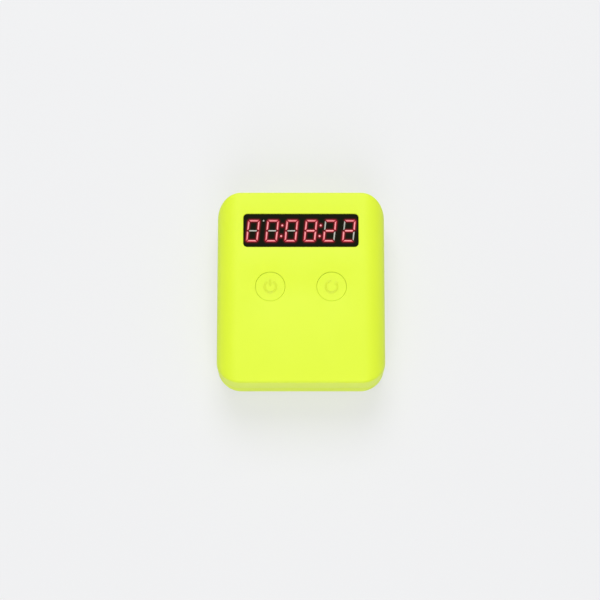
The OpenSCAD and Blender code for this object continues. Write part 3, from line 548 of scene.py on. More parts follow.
@dataclass(frozen=True)
class Skin:
    """The upper skin of the case.

    The top is flat. Along both long sides it falls away as a quarter ellipse of the distance from
    the side, straight from end to end, and a small round edge runs all round. Past the edge, the
    rings are drawn in less at the front and back than at the sides, by the share lag, and they
    crowd towards the edge by the power crowding.
    """

    outline: Outline
    top: float
    shoulder_w: float
    shoulder_h: float
    edge: float
    lag: float = 0.65
    crowding: float = 1.5

    def height(self, places: Array, inset: float | Array) -> Array:
        """Return the height of the skin at places that are set in from the outline by inset."""
        side = self.outline.half_x - np.abs(places[:, 0])
        shoulder = drop(side, self.shoulder_w, self.shoulder_h)
        return self.top - shoulder - drop(inset, self.edge, self.edge)

    def rings(self, edge_steps: int = 8, shoulder_steps: int = 16) -> list[Array]:
        """Draw the skin's rings from the foot of the edge to the start of the flat top.

        Args:
            edge_steps: steps up the round edge.
            shoulder_steps: steps along the shoulder.

        Returns:
            The rings, outermost first.
        """
        share = (np.arange(1, shoulder_steps + 1) / shoulder_steps) ** self.crowding
        edge = self.edge * (1 - np.cos(quarter_turn(edge_steps)))
        further = (self.shoulder_w - self.edge) * share
        insets = np.concatenate([edge, self.edge + further])
        lags = np.concatenate([0 * edge, self.lag * further])
        return [self.outline.ring(i, self.height(self.outline.places(i, j), i), j)
                for i, j in zip(insets, lags)]


def rim(outline: Outline, z: float, radius: float, steps: int = 5) -> list[Array]:
    """Round the rim of a hole: a quarter circle from the flat face down into the hole.

    Args:
        outline: outline of the hole.
        z: height of the face.
        radius: radius of the round; below nought, it rounds the foot of a wall instead.
        steps: steps along the quarter circle.

    Returns:
        Rings from the face into the hole, or up the wall.
    """
    return [outline.ring(-radius * (1 - math.sin(a)), z - radius * (1 - math.cos(a)))
            for a in quarter_turn(steps)]


class Facing(Enum):
    """Which way a flat patch looks."""

    UP = 1
    DOWN = -1


@dataclass
class Surface:
    """Points and faces gathered from patches, and welded into one closed mesh."""

    points: list[Array] = field(default_factory=list)
    faces: list[list[int]] = field(default_factory=list)
    count: int = 0

    def patch(self, points: Array, faces: Array) -> None:
        """Take points, and faces of one number of corners each."""
        self.points.append(points.reshape(-1, 3))
        self.faces += (faces + self.count).tolist()
        self.count += len(self.points[-1])

    def grid(self, rings: Sequence[Array] | Array, wrap: bool = True) -> None:
        """Join rings of equal length by four-sided faces.

        A face looks the way of the step along a ring crossed with the step from ring to ring.

        Args:
            rings: rows of points.
            wrap: whether each row closes on itself.
        """
        rings = np.asarray(rings, float)
        rows, columns = rings.shape[:2]
        index = np.arange(rows * columns).reshape(rows, columns)
        after = np.roll(index, -1, axis=1)
        if not wrap:
            index, after = index[:, :-1], after[:, :-1]
        faces = np.stack([index[:-1], after[:-1], after[1:], index[1:]], -1).reshape(-1, 4)
        self.patch(rings, faces)

    def lid(self, ring: Array, facing: Facing) -> None:
        """Close a counter-clockwise ring by one flat face."""
        order = np.arange(len(ring))
        self.patch(ring, (order if facing is Facing.UP else order[::-1])[None])

    def stack(self, rings: Sequence[Array]) -> None:
        """Join rings and close both ends."""
        self.grid(rings)
        self.lid(np.asarray(rings[0]), Facing.DOWN)
        self.lid(np.asarray(rings[-1]), Facing.UP)

    def flat(self, outer: Array, holes: Sequence[Array], facing: Facing) -> None:
        """Fill the flat between an outer ring and round holes by triangles.

        Args:
            outer: the outer ring.
            holes: counter-clockwise rings of the holes, none of them hollowed.
            facing: the way the patch looks.
        """
        rings = [outer, *holes]
        points = np.concatenate(rings)
        edges, start = [], 0
        for ring in rings:
            order = start + np.arange(len(ring))
            edges.append(np.column_stack([order, np.roll(order, -1)]))
            start += len(ring)
        flat = [Vector(p) for p in points[:, :2].tolist()]
        made = delaunay_2d_cdt(flat, np.concatenate(edges).tolist(), [], 1, 1e-7)
        source = np.array([ids[0] for ids in made[3]])
        faces = source[np.array(made[2])]
        middle = points[faces, :2].mean(axis=1)
        faces = faces[~np.any([inside(middle, hole[:, :2]) for hole in holes], axis=0)]
        a, b, c = (points[faces[:, k], :2] for k in range(3))
        turned = np.cross(b - a, c - a) * facing.value < 0
        faces[turned] = faces[turned][:, ::-1]
        self.patch(points, faces)

    def mesh(self, name: str) -> Mesh:
        """Weld the patches into a mesh in metres.

        Args:
            name: the mesh's name.

        Returns:
            The mesh.
        """
        mesh = bpy.data.meshes.new(name)
        mesh.from_pydata(np.concatenate(self.points) * MM, [], self.faces)
        work = bmesh.new()
        work.from_mesh(mesh)
        bmesh.ops.remove_doubles(work, verts=work.verts, dist=WELD_MM * MM)
        bmesh.ops.dissolve_degenerate(work, edges=work.edges, dist=WELD_MM * MM)
        work.to_mesh(mesh)
        work.free()
        mesh.validate()
        return mesh


def inside(places: Array, ring: Array) -> Array:
    """Say which places lie inside a counter-clockwise ring that isn't hollowed anywhere.

    Args:
        places: rows of x and y.
        ring: the ring's corners.

    Returns:
        For each place, whether it lies to the left of every side.
    """
    along = np.roll(ring, -1, axis=0) - ring
    ring = ring[np.hypot(*along.T) > WELD_MM]
    along = np.roll(ring, -1, axis=0) - ring
    return np.all(np.cross(along[None], places[:, None] - ring[None]) > 0, axis=1)


def placed(name: str, data: bpy.types.ID) -> Object:
    """Make an object of a mesh, light or camera, and put it in the scene."""
    made = bpy.data.objects.new(name, data)
    bpy.context.scene.collection.objects.link(made)
    return made


def dress(made: Object, finish: Finish) -> None:
    """Give an object one finish."""
    made.data.materials.clear()
    made.data.materials.append(finish.material())


def piece(name: str, mesh: Mesh, finish: Finish, node: str,
          body: str = "case") -> Object:
    """Make an object of a mesh: smooth, dressed, riding on its body and standing for its node.

    Args:
        name: name of the piece.
        mesh: its mesh, in place.
        finish: what it wears.
        node: the CAD node it stands for.
        body: the CAD body it rides on.

    Returns:
        The object.
    """
    mesh.polygons.foreach_set("use_smooth", np.ones(len(mesh.polygons), bool))
    mesh.set_sharp_from_angle(angle=math.radians(SHARP_DEG))
    made = placed(name, mesh)
    dress(made, finish)
    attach(made, body)
    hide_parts(node)
    log.info("%s: %d faces, stands for %s", name, len(mesh.polygons), node)
    return made


def keep_share(made: Object, name: str, values: Array) -> None:
    """Keep a share for each point of a piece, for its material to read."""
    kept = made.data.attributes.new(name, "FLOAT", "POINT")
    kept.data.foreach_set("value", values.astype(np.float32))


def points_of(mesh: Mesh) -> Array:
    """Return a mesh's points in millimetres."""
    points = np.empty(len(mesh.vertices) * 3, np.float32)
    mesh.vertices.foreach_get("co", points)
    return points.reshape(-1, 3).astype(float) / MM


def turned(profile: Sequence[tuple[float, float]], x: float = 0.0, y: float = 0.0,
           steps: int = 64) -> Array:
    """Turn a profile about an upright axis.

    Each point is the profile's radius along the direction of its angle, at the profile's height.

    Args:
        profile: pairs of radius and height, from the underside out and up to the top.
        x: place of the axis.
        y: place of the axis.
        steps: points round the axis.

    Returns:
        A row of points for each point of the profile.
    """
    radius, height = np.array(profile, float).T[..., None]
    angle = whole_turn(steps)[None]
    return np.stack([x + radius * np.cos(angle), y + radius * np.sin(angle),
                     height + 0 * angle], -1)


def bent_edge(corner: tuple[float, float], radius: float, start: float, steps: int = 5) -> list:
    """Round a profile's corner by a quarter circle.

    Args:
        corner: centre of the round, as radius and height.
        radius: radius of the round.
        start: the angle in degrees at which it starts, running counter-clockwise.
        steps: steps along it.

    Returns:
        Pairs of radius and height.
    """
    turn = np.radians(start + np.linspace(0, 90, steps + 1))
    return [(corner[0] + radius * math.cos(a), corner[1] + radius * math.sin(a)) for a in turn]


def wire(path: Array, radius: float, upright: Array, sides: int = 12) -> Array:
    """Carry a circle along a path.

    Each ring lies square to the path: the side direction is the path's own crossed with an upright
    one, and the ring's points lie round the plane of the side and what stands square to both.

    Args:
        path: points of the path.
        radius: radius of the wire.
        upright: a direction for each point that the path never runs along.
        sides: points round the wire.

    Returns:
        A row of points for each point of the path, with a pole at each end.
    """
    along = unit(np.gradient(path, axis=0))
    side = unit(np.cross(along, upright))
    over = np.cross(side, along)
    angle = whole_turn(sides)[None, :, None]
    round_path = np.cos(angle) * side[:, None] + np.sin(angle) * over[:, None]
    rings = path[:, None] + radius * round_path
    first, last = (np.repeat(path[k][None, None], sides, axis=1) for k in (0, -1))
    return np.concatenate([first, rings, last])[::-1]


def set_in(shapes: Array, by: float) -> Array:
    """Draw the corners of flat shapes in, so that every side moves in by the same distance.

    A corner moves along the sum of the inward directions of its two sides, divided by one plus
    their product.

    Args:
        shapes: counter-clockwise shapes, each with as many corners.
        by: the distance.

    Returns:
        The shapes drawn in.
    """
    along = unit(np.roll(shapes, -1, axis=1) - shapes)
    inward = np.stack([-along[..., 1], along[..., 0]], -1)
    before = np.roll(inward, 1, axis=1)
    return shapes + by * (before + inward) / (1 + np.sum(before * inward, -1, keepdims=True))


def add_blocks(surface: Surface, shapes: Array, low: float, high: float, edge: float,
               core: float = 0.0) -> None:
    """Raise flat shapes to blocks with a softened top edge.

    Args:
        surface: what takes the blocks.
        shapes: counter-clockwise shapes, each with as many corners.
        low: height of the underside.
        high: height of the top.
        edge: width and height of the softened edge.
        core: how far in a further ring runs on the top, if at all.
    """
    soft = edge * SOFT_SHARE
    levels = [(0.0, low), (0.0, high - edge), (soft, high - soft), (edge, high)]
    if core:
        levels.append((core, high))
    rows = [set_in(shapes, by) for by, _ in levels]
    for k in range(len(shapes)):
        surface.stack([at_height(row[k], z) for row, (_, z) in zip(rows, levels)])


def block(low: Sequence[float], high: Sequence[float]) -> Surface:
    """Make a plain box.

    Args:
        low: its lowest corner.
        high: its highest corner.

    Returns:
        The closed box.
    """
    (x0, y0, z0), (x1, y1, z1) = low, high
    ring = np.array([[x0, y0], [x1, y0], [x1, y1], [x0, y1]], float)
    made = Surface()
    made.stack([at_height(ring, z) for z in (z0, z1)])
    return made


def drum(radius: float, x: float, y: float, low: float, high: float) -> Surface:
    """Return a plain upright cylinder."""
    made = Surface()
    made.stack([circle(radius, x, y).ring(0, z) for z in (low, high)])
    return made


class Cut(Enum):
    """How a solid is worked with another."""

    AWAY = "DIFFERENCE"
    JOIN = "UNION"
    WITHIN = "INTERSECT"


def worked(name: str, base: Surface, tools: Sequence[tuple[Cut, Surface]]) -> Mesh:
    """Cut, join or trim a closed surface by others, in order.

    Args:
        name: name of the mesh.
        base: the surface to work.
        tools: how, and with what.

    Returns:
        The worked mesh.
    """
    blank, others = placed(f"{name}_blank", base.mesh(name)), []
    for k, (cut, tool) in enumerate(tools):
        others.append(placed(f"{name}_tool_{k}", tool.mesh(f"{name}_tool_{k}")))
        step = blank.modifiers.new(f"step_{k}", "BOOLEAN")
        step.operation, step.object, step.solver = cut.value, others[-1], "EXACT"
    evaluated = blank.evaluated_get(bpy.context.evaluated_depsgraph_get())
    mesh = bpy.data.meshes.new_from_object(evaluated)
    mesh.name = name
    for other in [blank, *others]:
        bpy.data.objects.remove(other)
    return mesh


def soften(made: Object, width_mm: float = 0.12, angle_deg: float = 50.0,
           steps: int = 2) -> None:
    """Round the sharp edges of a piece with a bevel.

    Args:
        made: the piece.
        width_mm: width of the round.
        angle_deg: an edge that turns by less stays as it is.
        steps: faces across the round.
    """
    bevel = made.modifiers.new("soft_edges", "BEVEL")
    bevel.width = width_mm * MM
    bevel.segments = steps
    bevel.limit_method = "ANGLE"
    bevel.angle_limit = math.radians(angle_deg)
    bevel.harden_normals = True


# ---- Case ----


@dataclass
class Case:
    """The two shells and what the other sub-assemblies take from them.

    Names end in x or y for a distance from the middle, r for a radius, w, h and t for a width, a
    height and a thickness, in for a distance inwards, and past for how far a cut runs past its
    surface. The top, seam and base, and a name that ends in z, low, top, ceiling or roof, are
    heights over the table. The lip reaches down by lip_root below the seam.
    """

    half_x: float = 35.0
    half_y: float = 40.25
    corner: float = 10.0
    top: float = 25.0
    seam: float = 9.5
    base: float = 0.6
    wall: float = 1.8
    top_t: float = 1.8
    floor_z: float = 2.4
    shoulder_w: float = 9.0
    shoulder_h: float = 8.5
    top_edge: float = 1.0
    inner_edge: float = 0.4
    # A ring this far under the round edge keeps the wall's shading flat.
    hold: float = 0.4
    bottom_edge: float = 1.0
    seam_edge: float = 0.12
    lip_in: float = 1.95
    lip_w: float = 0.8
    lip_h: float = 1.5
    lip_edge: float = 0.2
    lip_root: float = 2.0
    window: Outline = Outline(24.0, 7.1, 1.7, y=23.9, corner_steps=10, side_steps=6)
    window_edge: float = 0.3
    frame_w: float = 1.0
    frame_h: float = 2.0
    button_x: float = 12.7
    button_hole: float = 6.2
    button_edge: float = 0.1
    boss_x: float = 29.1
    boss_y: float = 27.0
    boss_r: float = 3.0
    boss_gap: float = 0.05
    # What stands on the bottom shell's floor starts at this height, inside the floor.
    root: float = 1.5
    pilot_r: float = 1.32
    pilot_top: float = 13.0
    screw_gap: float = 0.08
    post_x: float = 22.3
    post_y: tuple[float, float] = (-11.0, 9.75)
    post_r: float = 2.5
    post_z: float = 17.6
    post_pilot_r: float = 1.02
    post_pilot_top: float = 22.0
    bay_x: float = 16.95
    bay_y: tuple[float, float] = (-12.85, 36.65)
    bay_wall: float = 1.2
    bay_ceiling: float = 13.25
    bay_roof: float = 14.45
    tab_x: float = 11.1
    tab_slot: tuple[float, float] = (1.5, 0.5)
    tab_past: float = 0.1
    floor_past: float = 0.01
    door_half: float = 15.75
    door_gap: float = 0.2
    rail_w: float = 1.6
    rail_low: float = 1.45
    rail_gap: float = 0.1
    door_front: float = -14.35
    foot_r: float = 3.6
    foot_top: float = 1.2
    head_r: float = 2.5
    head_top: float = 4.4

    @property
    def outer(self) -> Skin:
        """The outer skin of the top shell."""
        outline = Outline(self.half_x, self.half_y, self.corner)
        return Skin(outline, self.top, self.shoulder_w, self.shoulder_h, self.top_edge)

    @property
    def inner(self) -> Skin:
        """The inner skin of the top shell."""
        wall = self.wall
        outline = Outline(self.half_x - wall, self.half_y - wall, self.corner - wall)
        return Skin(outline, self.top - self.top_t, self.shoulder_w - wall,
                    self.shoulder_h - self.top_t, self.inner_edge)

    @property
    def corners(self) -> list[tuple[float, float]]:
        """The places of the bosses, feet and case screws."""
        return [(x, y) for x in (-self.boss_x, self.boss_x) for y in (-self.boss_y, self.boss_y)]

    def hole(self, side: Side) -> Outline:
        """Return the hole of a button."""
        return circle(self.button_hole, side.value * self.button_x, 0.0)

    def add_posts(self, shell: Surface) -> None:
        """Stand the screw bosses and board posts under the top, each with its blind bore.

        Args:
            shell: what takes them.
        """
        bosses = [(x, y, self.boss_r, self.seam, self.pilot_r, self.pilot_top)
                  for x, y in self.corners]
        posts = [(x, y, self.post_r, self.post_z, self.post_pilot_r, self.post_pilot_top)
                 for x in (-self.post_x, self.post_x) for y in self.post_y]
        for x, y, radius, low, bore, bore_top in bosses + posts:
            outside, inside_ring = circle(radius, x, y), circle(bore, x, y)
            places = outside.places()
            buried = self.outer.height(places, self.top_edge) - self.top_t / 2
            shell.grid([inside_ring.ring(0, bore_top), inside_ring.ring(0, low),
                        outside.ring(0, low), outside.ring(0, buried)])
            shell.lid(inside_ring.ring(0, bore_top), Facing.DOWN)
            shell.lid(outside.ring(0, buried), Facing.UP)

    def top_mesh(self) -> Mesh:
        """Build the top shell: both skins, the seam's face, and every hole with its rim.

        Returns:
            Its closed mesh.
        """
        outer, inner, shell = self.outer, self.inner, Surface()
        ceiling, seam = inner.top, self.seam
        outer_rings, inner_rings = outer.rings(), inner.rings(edge_steps=4, shoulder_steps=10)
        shell.grid([
            *inner_rings[::-1],
            inner.outline.ring(0, seam),
            outer.outline.ring(self.seam_edge, seam),
            outer.outline.ring(self.seam_edge * SOFT_SHARE, seam + self.seam_edge * SOFT_SHARE),
            outer.outline.ring(0, seam + self.seam_edge),
            outer.outline.ring(0, outer_rings[0][:, 2] - self.hold),
            *outer_rings])
        holes = [self.hole(side) for side in Side]
        window_rim = rim(self.window, self.top, self.window_edge)
        hole_rims = [rim(hole, self.top, self.button_edge) for hole in holes]
        shell.flat(outer_rings[-1], [window_rim[0], *(r[0] for r in hole_rims)], Facing.UP)
        frame_low = ceiling - self.frame_h
        shell.grid([*window_rim, self.window.ring(0, frame_low),
                    self.window.ring(-self.frame_w, frame_low),
                    self.window.ring(-self.frame_w, ceiling)])
        for hole, rings in zip(holes, hole_rims):
            shell.grid([*rings, hole.ring(0, ceiling)])
        inner_holes = [self.window.ring(-self.frame_w, ceiling),
                       *(hole.ring(0, ceiling) for hole in holes)]
        shell.flat(inner_rings[-1], inner_holes, Facing.DOWN)
        self.add_posts(shell)
        return shell.mesh("top_shell")

    def lower_rings(self) -> list[Array]:
        """Draw the bottom shell's outer skin.

        Returns:
            Its rings, from the underside to the seam.
        """
        outline, edge = self.outer.outline, self.seam_edge
        soft = edge * SOFT_SHARE
        foot = rim(outline, self.base, -self.bottom_edge, steps=8)
        return [*foot, outline.ring(0, self.seam - edge), outline.ring(soft, self.seam - soft),
                outline.ring(edge, self.seam)]

    def lower_solid(self) -> Surface:
        """Return the space inside the lower skin."""
        made = Surface()
        made.stack(self.lower_rings())
        return made

    def door_room(self) -> list[tuple[Cut, Surface]]:
        """Make room for the battery door.

        Returns:
            The cuts for its opening and its grooves.
        """
        half, front = self.door_half + self.door_gap, self.door_front - self.door_gap
        wide, back = half + self.rail_w, self.half_y + PAST_MM
        opening = block([-half, front, self.base - PAST_MM], [half, back, self.floor_z])
        grooves = block([-wide, self.door_front - self.rail_w - self.door_gap,
                         self.rail_low - self.rail_gap], [wide, back, self.floor_z])
        return [(Cut.AWAY, opening), (Cut.AWAY, grooves)]

    def bottom_mesh(self) -> Mesh:
        """Build the bottom shell: a tub with a lip and a bay, cut for door, feet and screws.

        Returns:
            Its closed mesh.
        """
        inner, tub, seam, lip_in = self.inner.outline, Surface(), self.seam, self.lip_in
        lip = Outline(self.half_x - lip_in, self.half_y - lip_in, self.corner - lip_in)
        lip_top, lip_low = seam + self.lip_h, seam - self.lip_root
        tub.grid([*self.lower_rings(), lip.ring(0, seam), lip.ring(0, lip_top - self.lip_edge),
                  lip.ring(self.lip_edge, lip_top), lip.ring(self.lip_w, lip_top),
                  lip.ring(self.lip_w, lip_low), inner.ring(0, lip_low),
                  inner.ring(0, self.floor_z)])
        tub.lid(self.lower_rings()[0], Facing.DOWN)
        tub.lid(inner.ring(0, self.floor_z), Facing.UP)
        wall, (front, back) = self.bay_wall, self.bay_y
        bay = block([-self.bay_x - wall, front - wall, self.root],
                    [self.bay_x + wall, back + wall, self.bay_roof])
        room = block([-self.bay_x, front, self.floor_z - self.floor_past],
                     [self.bay_x, back, self.bay_ceiling])
        bosses = [drum(self.boss_r, x, y, self.root, seam - self.boss_gap)
                  for x, y in self.corners]
        steps = [(Cut.JOIN, bay), *((Cut.JOIN, boss) for boss in bosses), (Cut.AWAY, room),
                 *self.door_room()]
        slot_x, slot_y = self.tab_slot
        for side, y in zip(Side, self.bay_y):
            x = side.value * self.tab_x
            slot = block([x - slot_x, y - slot_y, self.bay_ceiling - self.tab_past],
                         [x + slot_x, y + slot_y, self.bay_roof + self.tab_past])
            steps.append((Cut.AWAY, slot))
        bores = ((self.foot_r, self.base - PAST_MM, self.foot_top),
                 (self.head_r, self.base, self.head_top),
                 (self.pilot_r + self.screw_gap, self.base, seam + PAST_MM))
        steps += [(Cut.AWAY, drum(radius, x, y, low, high))
                  for x, y in self.corners for radius, low, high in bores]
        return worked("bottom_shell", tub, steps)

    def build(self) -> None:
        """Make both shells and dress them."""
        piece("case_top", self.top_mesh(), CASE_ABS, "top_shell")
        soften(piece("case_bottom", self.bottom_mesh(), CASE_ABS, "bottom_shell"))


@dataclass
class Door:
    """The battery door: a plate between two rails, trimmed by the lower skin, with grip grooves."""

    case: Case
    top: float = 2.25
    grip_start: float = 4.0
    grip_pitch: float = 1.8
    grip_half: float = 7.0
    grip_r: float = 0.45
    grip_depth: float = 0.4
    grips: int = 5

    def groove(self, y: float) -> Surface:
        """Shape a grip groove: a bar with round ends, square to the door's travel.

        Args:
            y: the groove's place along the travel.

        Returns:
            The bar to cut away.
        """
        made, base = Surface(), self.case.base
        outline = Outline(self.grip_half, self.grip_r, self.grip_r, y=y, corner_steps=8,
                          side_steps=1)
        made.stack([outline.ring(0, z) for z in (base - PAST_MM, base + self.grip_depth)])
        return made

    def build(self) -> None:
        """Make the door and dress it."""
        case = self.case
        wide, back = case.door_half + case.rail_w, case.half_y
        plate = block([-case.door_half, case.door_front, case.base - PAST_MM],
                      [case.door_half, back, self.top])
        rails = block([-wide, case.door_front - case.rail_w, case.rail_low],
                      [wide, back, self.top])
        first = case.door_front + self.grip_start + self.grip_r
        grooves = [(Cut.AWAY, self.groove(first + k * self.grip_pitch)) for k in range(self.grips)]
        mesh = worked("battery_door", plate, [(Cut.JOIN, rails), (Cut.WITHIN, case.lower_solid()),
                                              *grooves])
        soften(piece("battery_door_skin", mesh, CASE_ABS, "battery_door", "door"))


class Sign(Enum):
    """What a button cap carries."""

    POWER = "power"
    RESTART = "restart"


@dataclass
class ButtonCap:
    """One press button: a dished cap with a flange, a post and a raised sign.

    The hollow is given by the radius of the post in it, its own radius and its ceiling. The sign
    is a ring with a gap, and either an upright bar or an arrowhead at the ring's end.
    """

    side: Side
    sign: Sign
    x: float = 12.7
    radius: float = 6.1
    top: float = 24.7
    edge: float = 0.1
    dish: float = 0.08
    dish_run: tuple[float, float] = (0.2, 4.0)
    flange_r: float = 7.5
    flange: tuple[float, float] = (22.3, 23.1)
    hollow: tuple[float, float, float] = (1.7, 5.1, 23.5)
    post_low: float = 21.95
    sign_r: float = 2.4
    stroke: float = 0.9
    sign_top: float = 24.78
    sign_root: float = 0.3
    sign_foot: float = 0.03
    gap_deg: float = 65.0
    bar_run: tuple[float, float] = (0.2, 1.2)
    head_deg: float = 30.0
    head_half: float = 0.37
    head_long: float = 1.5
    head_edge: float = 0.08

    def stroke_along(self, surface: Surface, path: Array) -> None:
        """Carry a softly raised stroke along a flat path.

        The section runs across the path, and its top is the square of a cosine.

        Args:
            surface: what takes the stroke.
            path: points in x and y.
        """
        along = unit(np.gradient(path, axis=0))
        across = np.stack([along[:, 1], -along[:, 0]], -1)
        share = np.linspace(1, -1, 11)
        low, foot = self.top - self.sign_root, self.top - self.dish - self.sign_foot
        offset = np.concatenate([share, [-1.0, 1.0]]) * self.stroke / 2
        crown = (self.sign_top - foot) * np.cos(share * math.pi / 2) ** 2
        height = np.concatenate([foot + crown, [low, low]])
        flat = path[:, None] + offset[None, :, None] * across[:, None]
        heights = np.broadcast_to(height[None, :, None], (*flat.shape[:2], 1))
        rings = np.concatenate([flat, heights], -1)
        ends = rings.mean(axis=1, keepdims=True) + 0 * rings
        surface.grid(np.concatenate([ends[:1], rings, ends[-1:]])[::-1])

    def arc(self, start: float, end: float, middle: Array, steps: int = 56) -> Array:
        """Return points on the sign's ring between two angles in degrees."""
        return middle + self.sign_r * direction(np.radians(np.linspace(start, end, steps)))

    def profile(self) -> list[tuple[float, float]]:
        """Draw the cap's section, whose dish falls by the square of the way still to go.

        Returns:
            Pairs of radius and height.
        """
        post_r, hollow_r, hollow_z = self.hollow
        (low, high), (start, run), edge = self.flange, self.dish_run, self.edge
        dish = [(self.radius - edge - t, self.top - self.dish * (1 - (1 - t / run) ** 2))
                for t in np.linspace(start, run, 9)]
        return [(0, self.post_low), (post_r, self.post_low), (post_r, hollow_z),
                (hollow_r, hollow_z), (hollow_r, low), (self.flange_r, low),
                (self.flange_r, high), (self.radius, high),
                *bent_edge((self.radius - edge, self.top - edge), edge, 0),
                *dish, (0, self.top - self.dish)]

    def add_power_sign(self, cap: Surface, middle: Array) -> None:
        """Raise a ring that is open at the back, with a bar through the gap.

        Args:
            cap: what takes the sign.
            middle: the middle of the cap.
        """
        self.stroke_along(cap, self.arc(90 + self.gap_deg / 2, 450 - self.gap_deg / 2, middle))
        start, end = self.bar_run
        reach = np.linspace(self.sign_r * start, self.sign_r * end, 8)[:, None]
        self.stroke_along(cap, middle + reach * np.array([[0.0, 1.0]]))

    def add_restart_sign(self, cap: Surface, middle: Array) -> None:
        """Raise a ring that ends in an arrowhead.

        Args:
            cap: what takes the sign.
            middle: the middle of the cap.
        """
        self.stroke_along(cap, self.arc(self.head_deg + self.gap_deg, self.head_deg + 360, middle))
        turn = math.radians(self.head_deg)
        ray = np.array([math.cos(turn), math.sin(turn)])
        ahead = np.array([-math.sin(turn), math.cos(turn)])
        head = self.sign_r * self.head_half
        tip = middle + self.sign_r * ray
        shape = np.array([tip - head * ray, tip + head * ray,
                          tip + self.head_long * head * ahead])
        add_blocks(cap, shape[None], self.top - self.sign_root, self.sign_top, self.head_edge)

    def build(self) -> None:
        """Make the cap and dress it."""
        x, cap, body = self.side.value * self.x, Surface(), f"{self.side.word}_button"
        cap.grid(turned(self.profile(), x, steps=96))
        signs = {Sign.POWER: self.add_power_sign, Sign.RESTART: self.add_restart_sign}
        signs[self.sign](cap, np.array([x, 0.0]))
        piece(f"{body}_cap_skin", cap.mesh(f"{body}_cap"), CAP_ABS, f"{body}_cap",
              body)


# ---- Display ----


